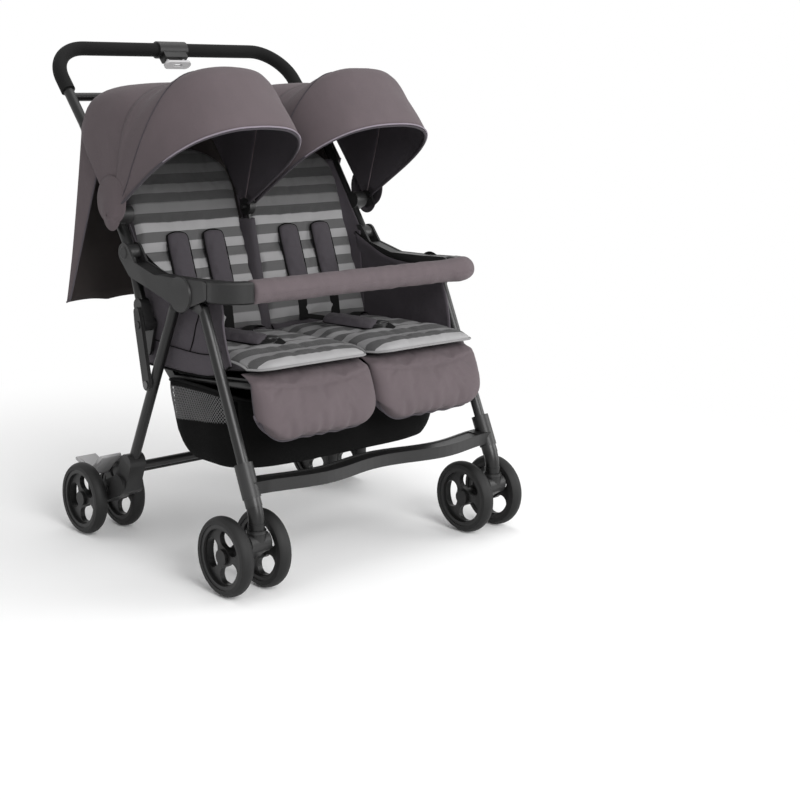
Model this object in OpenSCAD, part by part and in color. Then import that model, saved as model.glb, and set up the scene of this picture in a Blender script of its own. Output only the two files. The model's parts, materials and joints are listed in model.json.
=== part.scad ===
// Side by side double stroller with a four-bar folding frame, twin casters and two hooded seats.
// Frame: X across, -Y forwards, +Z up, origin on the ground at the middle. Left is +X, as the pusher sees it.

/* [Stance] */
// Front axle line, ahead of the middle of the stroller
front_axle_ahead = 317; // [305:1:330]
// Distance between the front and rear axle lines
wheelbase = 501; // [490:1:520]
// Plane of the legs and handle tubes, from the middle
side_x = 317; // [310:1:330]

/* [Wheels] */
// Outside diameter of a tyre
wheel_d = 152; // [146:1:160]
// Width of a tyre
tyre_w = 28; // [24:1:31]
// Radial depth of a tyre
tyre_depth = 14; // [10:1:17]
// Crown radius of the tread
tread_crown_r = 19; // [16:1:30]
// Radial width of the rim ring
rim_ring = 8; // [5:1:12]
// Width of the rim ring
rim_w = 24; // [18:1:28]
// Thickness of the spoked web
web_t = 11; // [6:1:16]
// Radius of the wheel hub
hub_r = 15; // [12:1:18]
// Half angle of each window between the spokes
window_half_a = 20; // [16:1:23]
// Radial margin between a window and the hub or rim ring
window_margin = 4; // [2:0.5:6]
// Spacing of the twin front wheels
front_twin = 88; // [86:1:96]
// Spacing of the twin rear wheels
rear_twin = 93; // [90:1:100]
// Radius of the axles
axle_r = 4; // [3:0.5:5]
// Side gap between a carrier and the tyres beside it
carrier_gap = 7; // [5:0.5:10]

/* [Casters] */
// Swivel axis ahead of the front axle
caster_trail = 37; // [30:1:45]
// Height of the fork's top face
fork_top_z = 122; // [116:1:128]
// Radius of the fork's swivel head
fork_head_r = 19; // [16:1:22]
// Radius of the fork round the axle
fork_axle_r = 16; // [12:1:20]
// Radius of the swivel stem
stem_r = 6; // [5:0.5:8]
// Length of the swivel stem
stem_len = 32; // [24:1:38]

/* [Legs] */
// Radius of the leg tubes
leg_r = 11; // [9:0.5:11]
// Leg pivot, ahead of the middle
pivot_a_ahead = 140; // [130:1:150]
// Height of the leg pivot
pivot_a_z = 546; // [536:1:556]
// Radius of the pivot pins at the legs
pin_r = 6; // [5:0.5:7]
// Radius of the leg heads round the pivot
head_r = 19; // [16:0.5:21]
// Top of the rear leg tube, behind the pivot
rear_top_behind = 46; // [42:1:50]
// Top of the rear leg tube, below the pivot
rear_top_below = 34; // [30:1:40]
// Foot of the rear leg, ahead of the rear axle
rear_foot_ahead = 96; // [90:1:104]
// Foot of the rear leg, above the rear axle
rear_foot_rise = 44; // [40:1:50]
// Top of the front leg tube, ahead of the pivot
front_top_ahead = 52; // [48:1:58]
// Top of the front leg tube, below the pivot
front_top_below = 24; // [20:1:30]
// Height where the front leg's line meets the swivel axis
front_bend_z = 156; // [152:1:162]
// Bend radius at the foot of the front leg
front_bend_r = 80; // [60:1:90]
// Radius of the moulded lower part of the front leg
lower_leg_r = 15; // [13:0.5:17]
// Radius of the rear cross tube
cross_tube_r = 9; // [7:0.5:10]
// Radius of the brake link rod
brake_rod_r = 3; // [2:0.5:4]

/* [Foot bar] */
// Underside height of the foot bar
foot_bar_z = 192; // [190:1:198]
// Height of the foot bar
foot_bar_h = 24; // [18:1:28]
// Depth of the foot bar, front to back
foot_bar_depth = 40; // [32:1:46]
// Forward bow of each footwell
foot_bar_bow = 24; // [0:1:30]
// Radius of the sleeves on the front legs
sleeve_r = 18; // [16:0.5:20]
// Length of the sleeves on the front legs
sleeve_len = 66; // [56:1:76]
// Depth of the tread recess in the foot bar
tread_recess = 2; // [1:0.5:4]

/* [Armrests] */
// Handle hinge, behind the middle
pivot_b_behind = 60; // [54:1:66]
// Height of the handle hinge
pivot_b_z = 609; // [602:1:616]
// Half of the channel width between the armrest's cheeks
channel_half = 12.5; // [12.5:0.5:14]
// Thickness of the armrest's cheeks
cheek_t = 5; // [4:0.5:6]
// Radius of the armrest's cheeks round the leg pivot
arm_round_r = 30; // [28:1:34]
// Half height of the armrest behind the pivot
arm_half_h = 17; // [15:1:19]
// Radius of the armrest's end round the handle hinge
arm_end_r = 20; // [19:1:22]
// Radius of the armrest's nose
nose_r = 19; // [17:1:21]
// Thickness of the armrest's top bridge
bridge_t = 4; // [3:0.5:5]
// Radius of the round pivot cover
cover_r = 36; // [32:1:38]
// Thickness of the round pivot cover
cover_t = 3.5; // [3:0.5:4]
// Radius of the handle hinge pins
hinge_pin_r = 5; // [4:0.5:6]

/* [Bumper bar] */
// Cross bar of the bumper, ahead of the middle
bumper_ahead = 280; // [274:1:300]
// Height of the bumper bar
bumper_z = 560; // [552:1:566]
// Radius of the bumper's core tube
bumper_core_r = 11; // [9:0.5:13]
// Half height of the bumper's padded sleeve
bumper_sleeve_r = 23; // [20:0.5:24]
// Corner radius of the bumper bar
bumper_corner_r = 42; // [36:1:46]

/* [Handle] */
// Radius of the handle tube
handle_r = 11; // [9:0.5:11.5]
// Rise of the lower handle tube above horizontal
handle_lower_a = 56; // [53:1:59]
// Length of the lower handle tube above the hinge
handle_lower_len = 305; // [295:1:315]
// Rise of the upper handle above horizontal
handle_upper_a = 48; // [45:1:52]
// Length of the upper handle
handle_upper_len = 219; // [212:1:226]
// Corner radius of the handle arch
handle_corner_r = 88; // [70:1:95]
// Radius of the foam grip
grip_r = 15.5; // [13:0.5:17]
// Start of the grip along the upper handle
grip_start = 96; // [90:1:105]
// Cross bar of the handle along the upper handle
cross_bar_at = 78; // [70:1:82]
// Radius of the handle cross bar
cross_bar_r = 9; // [7:0.5:10]
// Half width of the trigger housing
housing_half = 38; // [32:1:44]
// Radius of the trigger housing
housing_r = 19.5; // [18.5:0.5:21]
// Travel of the fold trigger
trigger_travel = 8; // [6:0.5:10]

/* [Fold linkage] */
// Lower end of the handle tube, behind the middle
pivot_c_behind = 8; // [4:1:12]
// Height of the handle tube's lower end
pivot_c_z = 468; // [462:1:474]
// Height of the link's pivot on the rear leg
pivot_d_z = 350; // [344:1:356]
// Half width of the fold link
link_r = 12; // [10:0.5:14]
// Thickness of the fold link
link_t = 8; // [6:0.5:10]
// Radius of the link pins
link_pin_r = 4; // [3:0.5:5]

/* [Seats] */
// Axis of the seat hinge tube, behind the middle
hinge_behind = 24; // [22:1:28]
// Height of the seat hinge tube
hinge_z = 414; // [410:1:418]
// Radius of the seat hinge tube
hinge_tube_r = 9; // [8:0.5:10]
// Outer face of the seats, from the middle
seat_outer_x = 288; // [280:1:290]
// Inner face of the seats, from the middle
seat_inner_x = 12; // [11:1:16]
// Front edge of the seat pads, ahead of the middle
seat_front_ahead = 324; // [318:1:328]
// Rear edge of the seat pads, ahead of the middle
seat_rear_ahead = 30; // [26:1:40]
// Slope of the seat, rising forwards
seat_slope_a = 5; // [4:0.5:6]
// Height of the seat surface above the bite line
bite_z = 400; // [398:1:402]
// Thickness of the seat pads at the crown
seat_pad_t = 30; // [24:1:32]
// Radius of the seat frame tubes
seat_tube_r = 8; // [6:0.5:9]
// Length of the back pads up from the hinge
back_len = 412; // [400:1:420]
// Lower edge of the back pads above the hinge
back_start = 30; // [26:1:36]
// Lean of the back pads from upright
back_lean_a = 20; // [17:0.5:23]
// Thickness of the back pads at the crown
back_pad_t = 28; // [22:1:32]
// Length of the leg rests
leg_rest_len = 122; // [116:1:136]
// Thickness of the leg rests
leg_rest_t = 32; // [24:1:36]
// Forward lean of the leg rests from hanging straight down
leg_rest_lean_a = 5; // [3:0.5:8]
// Width of the harness shoulder pads
harness_w = 46; // [38:1:52]
// Length of the harness shoulder pads
harness_len = 120; // [105:1:135]
// Thickness of the harness shoulder pads
harness_t = 12; // [8:1:14]

/* [Canopies] */
// Canopy axis along the lower handle tube from the hinge
canopy_along = 76; // [74:1:82]
// Canopy axis ahead of the lower handle tube
canopy_off = 22; // [21:1:25]
// Radius of the canopies at their middle
canopy_mid_r = 292; // [286:1:298]
// Radius of the canopies at their sides
canopy_end_r = 130; // [120:1:150]
// Centre of the canopies' curve, out along the front bow
canopy_throw = 20; // [16:1:26]
// Centre of the rear panels, ahead of that of the visors
rear_panel_ahead = 30; // [24:1:32]
// Radius of the rear panels, less than that of the visors
rear_panel_less = 15; // [15:1:18]
// Outer side of the canopies, from the middle
canopy_outer_x = 346; // [344:1:356]
// Inner side of the canopies, from the middle
canopy_inner_x = 8; // [7:1:9]
// Thickness of the canopy cloth and its wire
canopy_t = 3; // [2:0.5:3.5]
// Angle of the canopy's rear edge above horizontal
canopy_rear_a = 45; // [44:1:48]
// Angle of the seam between the rear panel and the visor
canopy_seam_a = 104; // [102:1:106]
// Angle of the visor's front edge
canopy_front_a = 147; // [144:1:149]
// Radius of the canopy hubs
hub_disc_r = 18; // [16:0.5:19]
// Radius of the canopy's centre post
post_r = 5; // [4:0.5:5.5]
// Height of the rear cover's hem
rear_cover_z = 482; // [470:1:500]
// Hem of the rear cover, behind the middle
rear_cover_behind = 300; // [280:1:310]
// Front corner of the rear cover's sides, behind the middle
cover_front_behind = 284; // [270:1:294]
// Front corner of the rear cover's sides, height
cover_front_z = 488; // [482:1:500]

/* [Basket and side panels] */
// Half width of the basket
basket_half_w = 300; // [285:1:302]
// Front of the basket, ahead of the middle
basket_front_ahead = 262; // [250:1:270]
// Rear of the basket, behind the middle
basket_rear_behind = 18; // [14:1:24]
// Height of the basket's underside
basket_bottom_z = 203; // [200:1:210]
// Height of the basket's rim
basket_top_z = 345; // [335:1:350]
// Thickness of the basket's cloth
basket_t = 3; // [2:0.5:4]
// Thickness of the side panels
panel_t = 2.5; // [2:0.5:3]

/* [Brake] */
// Brake pedal pivot, behind the rear axle
pedal_behind = 14; // [10:1:18]
// Brake pedal pivot, above the rear axle
pedal_rise = 50; // [46:1:54]
// Half width of the brake pedal
pedal_half = 24; // [20:1:25]
// Thickness of the brake pedal
pedal_t = 7; // [5:0.5:9]

/* [Fits] */
// Clearance of a pin or axle in its bore
pin_gap = 0.05; // [0.03:0.01:0.1]
// Clearance of a piece in its fixed seat
seat_gap = 0.05; // [0.03:0.01:0.2]
// Clearance between moving faces
run_gap = 0.4; // [0.3:0.1:0.6]
// Overrun of every cut past its faces
overrun = 2; // [1:0.5:3]

/* [Hidden] */
$fn = 48;
LEFT = 1;
RIGHT = -1;

// Places in the side view are [y, z]
wheel_r = wheel_d / 2;
axle_z = wheel_r;
front_axle = [-front_axle_ahead, axle_z];
rear_axle = [wheelbase - front_axle_ahead, axle_z];
pivot_a = [-pivot_a_ahead, pivot_a_z];
pivot_b = [pivot_b_behind, pivot_b_z];
pivot_c = [pivot_c_behind, pivot_c_z];
caster_y = -front_axle_ahead - caster_trail;
rear_top = pivot_a + [rear_top_behind, -rear_top_below];
rear_foot = rear_axle + [-rear_foot_ahead, rear_foot_rise];
rear_dir = unit(rear_top - rear_foot);
pivot_d = rear_foot + rear_dir * (pivot_d_z - rear_foot[1]) / rear_dir[1];
front_top = pivot_a + [-front_top_ahead, -front_top_below];
front_knee = [caster_y, front_bend_z];
front_dir = unit(front_top - front_knee);
front_bend_a = atan2(front_dir[0], front_dir[1]);
front_tangent = front_bend_r * tan(front_bend_a / 2);

function unit(v) = v / norm(v);
function polar(r, a) = r * [cos(a), sin(a)];
function at_side(p, side) = [side * side_x, p[0], p[1]];
function mix(a, b, share) = a + (b - a) * share;

// Rod between two points
module rod(p, q, r) {
  d = q - p;
  translate(p) rotate([0, acos(d[2] / norm(d)), atan2(d[1], d[0])]) cylinder(r = r, h = norm(d));
}

// Solid across X from a side-view outline
module side_plate(x0, x1) {
  translate([x0, 0, 0]) rotate([90, 0, 90]) linear_extrude(x1 - x0) children();
}

// Cylinder across X
module cross_rod(p, x0, x1, r) {
  side_plate(x0, x1) translate(p) circle(r);
}

// Mirror a left-hand piece to the chosen side
module on_side(side) {
  mirror([side < 0 ? 1 : 0, 0, 0]) children();
}

// Outline of a bar with round ends of two radii
module bar2d(p, rp, q, rq) {
  d = q - p;
  a = atan2(d[1], d[0]);
  b = acos((rp - rq) / norm(d));
  translate(p) circle(rp);
  translate(q) circle(rq);
  polygon([p + polar(rp, a + b), q + polar(rq, a + b), q + polar(rq, a - b), p + polar(rp, a - b)]);
}

// Tubular arc in the side view about a centre, from one angle to another
module side_arc(x, centre, bend_r, r, a0, a1) {
  translate([x, centre[0], centre[1]]) rotate([90, 0, 90]) rotate([0, 0, a0])
    rotate_extrude(angle = a1 - a0) translate([bend_r, 0]) circle(r);
}

/* Wheels */

rim_r = wheel_r - tyre_depth;
rim_in_r = rim_r - rim_ring;
hub_cap_t = 2.5;
hub_out = rim_w / 2;
front_carrier_half = (front_twin - tyre_w) / 2 - carrier_gap;
rear_carrier_half = (rear_twin - tyre_w) / 2 - carrier_gap;
spoke_count = 3;
window_end_share = 0.98;

function wheel_x(twin, outer) = side_x + (outer ? 1 : -1) * twin / 2;

// Stand a wheel made along Z on its axle, with its hub cap away from the carrier
module wheel_place(side, twin, outer, axle) {
  on_side(side) translate([wheel_x(twin, outer), axle[0], axle[1]])
    rotate([0, outer ? 90 : -90, 0]) children();
}

module tyre_shape() {
  rotate_extrude() intersection() {
    translate([rim_r + seat_gap, -tyre_w / 2]) square([tyre_depth - seat_gap, tyre_w]);
    translate([wheel_r - tread_crown_r, 0]) circle(tread_crown_r);
  }
}

module window2d() {
  inner_r = hub_r + window_margin;
  outer_r = rim_in_r - window_margin / 2;
  end_r = (outer_r - inner_r) / 2 * window_end_share;
  intersection() {
    difference() {
      circle(outer_r);
      circle(inner_r);
    }
    polygon([[0, 0], polar(2 * outer_r, -window_half_a), [2 * outer_r, 0], polar(2 * outer_r, window_half_a)]);
  }
  for (s = [-1, 1]) rotate(s * window_half_a) translate([(inner_r + outer_r) / 2, 0]) circle(end_r);
}

module rim_shape(twin, carrier_half) {
  hub_in = twin / 2 - carrier_half - run_gap;
  difference() {
    union() {
      rotate_extrude() translate([rim_in_r, -rim_w / 2]) square([rim_ring, rim_w]);
      translate([0, 0, -web_t / 2]) cylinder(r = rim_in_r + rim_ring / 2, h = web_t);
      translate([0, 0, -hub_in]) cylinder(r = hub_r, h = hub_in + hub_out);
    }
    for (i = [0 : spoke_count - 1]) rotate(90 + i * 360 / spoke_count)
      translate([0, 0, -web_t / 2 - overrun]) linear_extrude(web_t + 2 * overrun) window2d();
    translate([0, 0, -hub_in - overrun]) cylinder(r = axle_r + pin_gap, h = hub_in + overrun + hub_out - hub_cap_t);
  }
}

module tyre(side, twin, outer, axle) {
  color("#1c1c1e") wheel_place(side, twin, outer, axle) tyre_shape();
}

module rim(side, twin, outer, axle, carrier_half) {
  color("#2a2a2c") wheel_place(side, twin, outer, axle) rim_shape(twin, carrier_half);
}

module axle_rod(side, twin, axle) {
  reach = twin / 2 + hub_out - hub_cap_t - run_gap;
  on_side(side) cross_rod(axle, side_x - reach, side_x + reach, axle_r);
}

/* Casters and front legs */

fork_rib_t = 3;
fork_rib_share = 0.8;
collar_bottom_z = fork_top_z + run_gap;
sleeve_middle = front_knee + front_dir * (foot_bar_z + foot_bar_h / 2 - front_bend_z + sleeve_len / 6) / front_dir[1];
sleeve_low = sleeve_middle - front_dir * sleeve_len / 2;
sleeve_high = sleeve_middle + front_dir * sleeve_len / 2;

module caster_fork(side) {
  color("#252527") on_side(side) difference() {
    union() {
      side_plate(side_x - front_carrier_half, side_x + front_carrier_half) intersection() {
        bar2d([caster_y, fork_top_z - fork_head_r], fork_head_r, front_axle, fork_axle_r);
        translate([caster_y - fork_head_r, 0]) square([2 * wheel_r, fork_top_z]);
      }
      translate([side_x, caster_y, fork_top_z - fork_head_r]) cylinder(r = fork_head_r, h = fork_head_r);
      translate([side_x, caster_y, fork_top_z - overrun]) cylinder(r = stem_r, h = stem_len + overrun);
    }
    cross_rod(front_axle, 0, 2 * side_x, axle_r + pin_gap);
    for (s = [-1, 1]) translate([s * (front_carrier_half - fork_rib_t / 2), 0, 0])
      side_plate(side_x - fork_rib_t, side_x + fork_rib_t) difference() {
        bar2d([caster_y, fork_top_z - 2 * fork_head_r], fork_axle_r / 2, front_axle - [fork_axle_r, 0], fork_axle_r / 4);
        translate(front_axle) circle(fork_axle_r * fork_rib_share);
      }
  }
}

module caster_axle(side) {
  color("silver") axle_rod(side, front_twin, front_axle);
}

lap_gap = run_gap;
head_tip_share = 0.8;
boot_lip = 1;
elbow_lip = 0.5;

module front_leg(side) {
  bend_low = front_knee - [0, front_tangent];
  bend_high = front_knee + front_dir * front_tangent;
  bend_centre = bend_low + [front_bend_r, 0];
  color("#2b2b2d") on_side(side) difference() {
    union() {
      rod(at_side(sleeve_low, 1), at_side(front_top, 1), leg_r);
      translate(at_side(front_top, 1)) sphere(leg_r);
      rod(at_side(bend_high - front_dir * overrun, 1), at_side(sleeve_low, 1), lower_leg_r + boot_lip);
      side_arc(side_x, bend_centre, front_bend_r, lower_leg_r, 180 - front_bend_a, 180);
      translate([side_x, caster_y, collar_bottom_z])
        cylinder(r = lower_leg_r + boot_lip, h = bend_low[1] - collar_bottom_z + overrun);
      translate([side_x, caster_y, collar_bottom_z]) cylinder(r = fork_head_r, h = fork_head_r / 3);
      side_plate(side_x + lap_gap / 2, side_x + leg_r) bar2d(pivot_a, head_r, front_top, leg_r * head_tip_share);
    }
    translate([side_x, caster_y, collar_bottom_z - overrun]) cylinder(r = stem_r + pin_gap, h = stem_len + overrun);
    cross_rod(pivot_a, side_x - channel_half, side_x + channel_half, pin_r + pin_gap);
  }
}

foot_bar_y = sleeve_middle[0];
foot_bar_step_count = 32;

// Plan of the bar: one forward bow in front of each seat
function foot_wave(x) = -foot_bar_bow * (1 - cos(720 * x / (2 * side_x))) / 2;

module foot_wave2d(depth, half) {
  xs = [for (i = [0 : foot_bar_step_count]) half * (2 * i / foot_bar_step_count - 1)];
  polygon(concat(
    [for (x = xs) [x, foot_bar_y + foot_wave(x) - depth / 2]],
    [for (i = [foot_bar_step_count : -1 : 0]) [xs[i], foot_bar_y + foot_wave(xs[i]) + depth / 2]]
  ));
}

module foot_bar() {
  lip = foot_bar_depth / 8;
  color("#242426") difference() {
    union() {
      translate([0, 0, foot_bar_z]) linear_extrude(foot_bar_h) foot_wave2d(foot_bar_depth, side_x);
      for (side = [LEFT, RIGHT]) rod(at_side(sleeve_low, side), at_side(sleeve_high, side), sleeve_r);
    }
    translate([0, 0, foot_bar_z + foot_bar_h - tread_recess])
      linear_extrude(tread_recess + overrun) foot_wave2d(foot_bar_depth - 2 * lip, side_x - 2 * sleeve_r);
    translate([0, 0, foot_bar_z - overrun])
      linear_extrude(foot_bar_h / 2 + overrun) foot_wave2d(foot_bar_depth - 2 * lip, side_x - 2 * sleeve_r);
    for (side = [LEFT, RIGHT]) rod(
      at_side(sleeve_low - front_dir * overrun, side),
      at_side(sleeve_high + front_dir * overrun, side), leg_r + seat_gap);
    for (side = [LEFT, RIGHT]) rod(
      at_side(sleeve_low - front_dir * sleeve_len, side), at_side(sleeve_low, side), 2 * sleeve_r);
  }
}

/* Rear legs, housings and brake */

socket_len = 56;
housing_axle_r = 19;
housing_foot_r = 22;
socket_r = 19;
socket_top = rear_foot + rear_dir * socket_len;
cross_tube_share = 0.78;
cross_tube = rear_foot + rear_dir * socket_len * cross_tube_share;
brake_rod_drop = cross_tube_r + brake_rod_r + 4 * run_gap;
brake_rod_place = cross_tube + [brake_rod_drop / 2, -brake_rod_drop];
brake_rod_end = side_x - leg_r - overrun;
pedal_pivot = rear_axle + [pedal_behind, pedal_rise];
pedal_pin_r = 3;
pedal_hub_r = 8;
ear_t = 6;
rib_pitch = 9;
rib_w = 4;
rib_depth = 1.5;
rib_place_share = 0.55;
rib_len_share = 1.2;

module rear_leg(side) {
  color("#2b2b2d") on_side(side) difference() {
    union() {
      rod(at_side(rear_foot, 1), at_side(rear_top, 1), leg_r);
      translate(at_side(rear_top, 1)) sphere(leg_r);
      side_plate(side_x - leg_r, side_x - lap_gap / 2) bar2d(pivot_a, head_r, rear_top, leg_r * head_tip_share);
    }
    cross_rod(pivot_a, side_x - channel_half, side_x + channel_half, pin_r + pin_gap);
    cross_rod(pivot_d, side_x - channel_half, side_x + channel_half, link_pin_r + pin_gap);
  }
}

module rear_housing(side) {
  color("#252527") on_side(side) difference() {
    union() {
      side_plate(side_x - rear_carrier_half, side_x + rear_carrier_half)
        bar2d(rear_axle, housing_axle_r, rear_foot, housing_foot_r);
      side_plate(side_x - socket_r, side_x + socket_r) bar2d(rear_foot, housing_foot_r, socket_top, socket_r);
      if (side == RIGHT) for (s = [-1, 1])
        side_plate(side_x + s * (rear_carrier_half - ear_t / 2) - ear_t / 2,
          side_x + s * (rear_carrier_half - ear_t / 2) + ear_t / 2)
          bar2d(rear_axle, housing_axle_r, pedal_pivot, pedal_hub_r);
    }
    rod(at_side(rear_foot, 1), at_side(socket_top + rear_dir * (socket_r + overrun), 1), leg_r + seat_gap);
    cross_rod(rear_axle, 0, 2 * side_x, axle_r + pin_gap);
    cross_rod(brake_rod_place, 0, brake_rod_end, brake_rod_r + pin_gap);
    if (side == RIGHT) cross_rod(pedal_pivot, 0, 2 * side_x, pedal_pin_r + pin_gap);
    for (s = [-1, 1], i = [-1 : 1]) translate([s * rear_carrier_half, 0, 0])
      side_plate(side_x - rib_depth, side_x + rib_depth)
        translate(mix(rear_axle, rear_foot, rib_place_share) + unit(rear_foot - rear_axle) * i * rib_pitch)
          rotate(atan2(rear_dir[1], rear_dir[0])) square([housing_foot_r * rib_len_share, rib_w], center = true);
  }
}

module rear_axles() {
  color("silver") for (side = [LEFT, RIGHT]) axle_rod(side, rear_twin, rear_axle);
}

module rear_cross_tube() {
  color("#2b2b2d") cross_rod(cross_tube, -side_x + socket_r, side_x - socket_r, cross_tube_r);
}

module brake_rod() {
  reach = brake_rod_end - run_gap;
  color("#1e1e20") cross_rod(brake_rod_place, -reach, reach, brake_rod_r);
}

pedal_inner_half = rear_carrier_half - ear_t - run_gap;
pedal_front_reach = 46;
pedal_front_rise = 40;
pedal_rear_reach = 56;
pedal_rear_rise = 18;
pedal_front = pedal_pivot + [-pedal_front_reach, pedal_front_rise];
pedal_rear = pedal_pivot + [pedal_rear_reach, pedal_rear_rise];
paddle_share = 0.62;

// Rocker with a front and a rear paddle above the twin wheels
module brake_pedal() {
  color("#b9bbbd") on_side(RIGHT) difference() {
    union() {
      cross_rod(pedal_pivot, side_x - pedal_inner_half, side_x + pedal_inner_half, pedal_hub_r);
      side_plate(side_x - pedal_inner_half, side_x + pedal_inner_half) {
        bar2d(pedal_pivot, pedal_hub_r, pedal_front, pedal_t / 2);
        bar2d(pedal_pivot, pedal_hub_r, pedal_rear, pedal_t / 2);
      }
      for (tip = [pedal_front, pedal_rear]) side_plate(side_x - pedal_half, side_x + pedal_half)
        bar2d(mix(pedal_pivot, tip, paddle_share), pedal_t / 2, tip, pedal_t / 2);
    }
    cross_rod(pedal_pivot, 0, 2 * side_x, pedal_pin_r + pin_gap);
  }
}

pin_head_t = 2;
pin_head_share = 1.6;
link_in = side_x + leg_r + 2 * run_gap;
link_out = link_in + link_t;

// Pins held by the rear legs: leg pivots, link pivots and the pedal pin
module frame_pins() {
  color("silver") {
    for (side = [LEFT, RIGHT]) on_side(side) {
      cross_rod(pivot_a, side_x - channel_half - cheek_t - run_gap, side_x + channel_half + cheek_t, pin_r);
      cross_rod(pivot_a, side_x - channel_half - cheek_t - run_gap - pin_head_t,
        side_x - channel_half - cheek_t - run_gap, pin_r * pin_head_share);
      cross_rod(pivot_d, side_x - leg_r - run_gap, link_out + run_gap, link_pin_r);
      cross_rod(pivot_d, link_out + run_gap, link_out + run_gap + pin_head_t, link_pin_r * 2);
    }
    on_side(RIGHT) cross_rod(pedal_pivot, side_x - rear_carrier_half, side_x + rear_carrier_half, pedal_pin_r);
  }
}

/* Armrests and bumper bar */

nose_ahead = 72;
nose = [pivot_a[0] - nose_ahead, bumper_z];
arm_dip_share = 0.46;
arm_rise_share = 0.86;
arm_sag_share = 1.3;
arm_dip = mix(pivot_a, pivot_b, arm_dip_share) + [0, -arm_half_h];
arm_rise = mix(pivot_a, pivot_b, arm_rise_share) + [0, -arm_sag_share * arm_half_h];
knuckle_wall = 6;
knuckle_r = handle_r + knuckle_wall;
nose_face_share = 0.7;
nose_face_y = nose[0] - nose_r * nose_face_share;

bridge_end_share = 2.6;
bridge_set = 0.6;
end_cap_shares = [0.7, 0.55];

module armrest2d() {
  bar2d(pivot_a, arm_round_r, nose, nose_r);
  bar2d(pivot_a, arm_round_r, arm_dip, arm_half_h);
  bar2d(arm_dip, arm_half_h, arm_rise, arm_half_h);
  bar2d(arm_rise, arm_half_h, pivot_b, arm_end_r);
}

// Strip that joins the two cheeks just below their top edge
module bridge2d() {
  tops = [[nose, nose_r], [pivot_a, arm_round_r], [arm_dip, arm_half_h], [arm_rise, arm_half_h], [pivot_b, arm_end_r]];
  line = [for (t = tops) t[0] + [0, t[1] - bridge_t / 2 - bridge_set]];
  for (i = [0 : len(line) - 2]) bar2d(line[i], bridge_t / 2, line[i + 1], bridge_t / 2);
}

// Channel over the legs and the handle tube, open below, with a round cover on the pivot
module armrest(side) {
  color("#2d2d30") on_side(side) difference() {
    union() {
      for (s = [-1, 1]) side_plate(side_x + s * (channel_half + cheek_t / 2) - cheek_t / 2,
        side_x + s * (channel_half + cheek_t / 2) + cheek_t / 2) armrest2d();
      side_plate(side_x - channel_half - cheek_t / 2, side_x + channel_half + cheek_t / 2) difference() {
        bridge2d();
        translate(pivot_b) circle(bridge_end_share * knuckle_r);
      }
      cross_rod(nose, side_x - channel_half - cheek_t / 2, side_x + channel_half + cheek_t / 2, nose_r - bridge_t);
      translate([side_x + channel_half + cheek_t, pivot_a[0], pivot_a[1]]) rotate([0, 90, 0])
        cylinder(r1 = cover_r, r2 = cover_r - cover_t / 2, h = cover_t);
      translate([side_x + channel_half + cheek_t, pivot_b[0], pivot_b[1]]) rotate([0, 90, 0])
        cylinder(r1 = arm_end_r * end_cap_shares[0], r2 = arm_end_r * end_cap_shares[1], h = cover_t / 2);
    }
    side_plate(0, 2 * side_x) translate([nose_face_y - 2 * nose_r, nose[1] - 2 * nose_r]) square([2 * nose_r, 4 * nose_r]);
    cross_rod(pivot_a, 0, side_x + channel_half + cheek_t + run_gap, pin_r + pin_gap);
    cross_rod(pivot_b, 0, side_x + channel_half + cheek_t + run_gap, hinge_pin_r + pin_gap);
  }
}

module handle_pins() {
  color("silver") for (side = [LEFT, RIGHT]) on_side(side)
    cross_rod(pivot_b, side_x - channel_half - cheek_t, side_x + channel_half + cheek_t, hinge_pin_r);
}

bumper_corner = [side_x - bumper_corner_r, -bumper_ahead + bumper_corner_r];
elbow_half_w = 16.5;
elbow_half_h = 21;
elbow_r = 24;

// Section of the bumper bar's moulded elbows
module elbow2d() {
  intersection() {
    circle(elbow_r);
    square([2 * elbow_half_w, 2 * elbow_half_h], center = true);
  }
}

// Straight bar across the front of the bumper
module bumper_rod(r, half) {
  translate([-half, -bumper_ahead, bumper_z]) rotate([0, 90, 0]) cylinder(r = r, h = 2 * half);
}

// Core with a moulded elbow at each end, which plugs into the armrest's nose
module bumper_bar() {
  color("#2d2d30") {
    bumper_rod(bumper_core_r, bumper_corner[0] + overrun);
    for (s = [-1, 1]) {
      translate([s * bumper_corner[0], bumper_corner[1], bumper_z]) rotate([0, 0, s > 0 ? -90 : 180])
        rotate_extrude(angle = 90) translate([bumper_corner_r, 0]) elbow2d();
      translate([s * side_x, bumper_corner[1], bumper_z]) rotate([-90, 0, 0])
        linear_extrude(nose_face_y - bumper_corner[1]) elbow2d();
    }
  }
}

// Padded sleeve between the elbows
module bumper_sleeve() {
  color("#6b6465") difference() {
    bumper_rod(bumper_sleeve_r, bumper_corner[0] - run_gap);
    bumper_rod(bumper_core_r + seat_gap, side_x);
  }
}

/* Handle */

lower_dir = polar(1, handle_lower_a);
upper_dir = polar(1, handle_upper_a);
handle_knee = pivot_b + lower_dir * handle_lower_len;
handle_top = handle_knee + upper_dir * handle_upper_len;
arch_straight = handle_upper_len - handle_corner_r;
arch_half = side_x - handle_corner_r;
end_block_r = 14;
end_block_len = 40;
arm_dir = unit(pivot_b - pivot_c);

// Arch in the plane of the upper handle, from a start along it
module arch(r, start) {
  translate([0, handle_knee[0], handle_knee[1]]) rotate([handle_upper_a, 0, 0]) {
    for (s = [-1, 1]) {
      translate([s * side_x, start, 0]) rotate([-90, 0, 0]) cylinder(r = r, h = arch_straight - start);
      translate([s * arch_half, arch_straight, 0]) rotate([0, 0, s > 0 ? 0 : 90])
        rotate_extrude(angle = 90) translate([handle_corner_r, 0]) circle(r);
    }
    translate([-arch_half, handle_upper_len, 0]) rotate([0, 90, 0]) cylinder(r = r, h = 2 * arch_half);
  }
}

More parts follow.
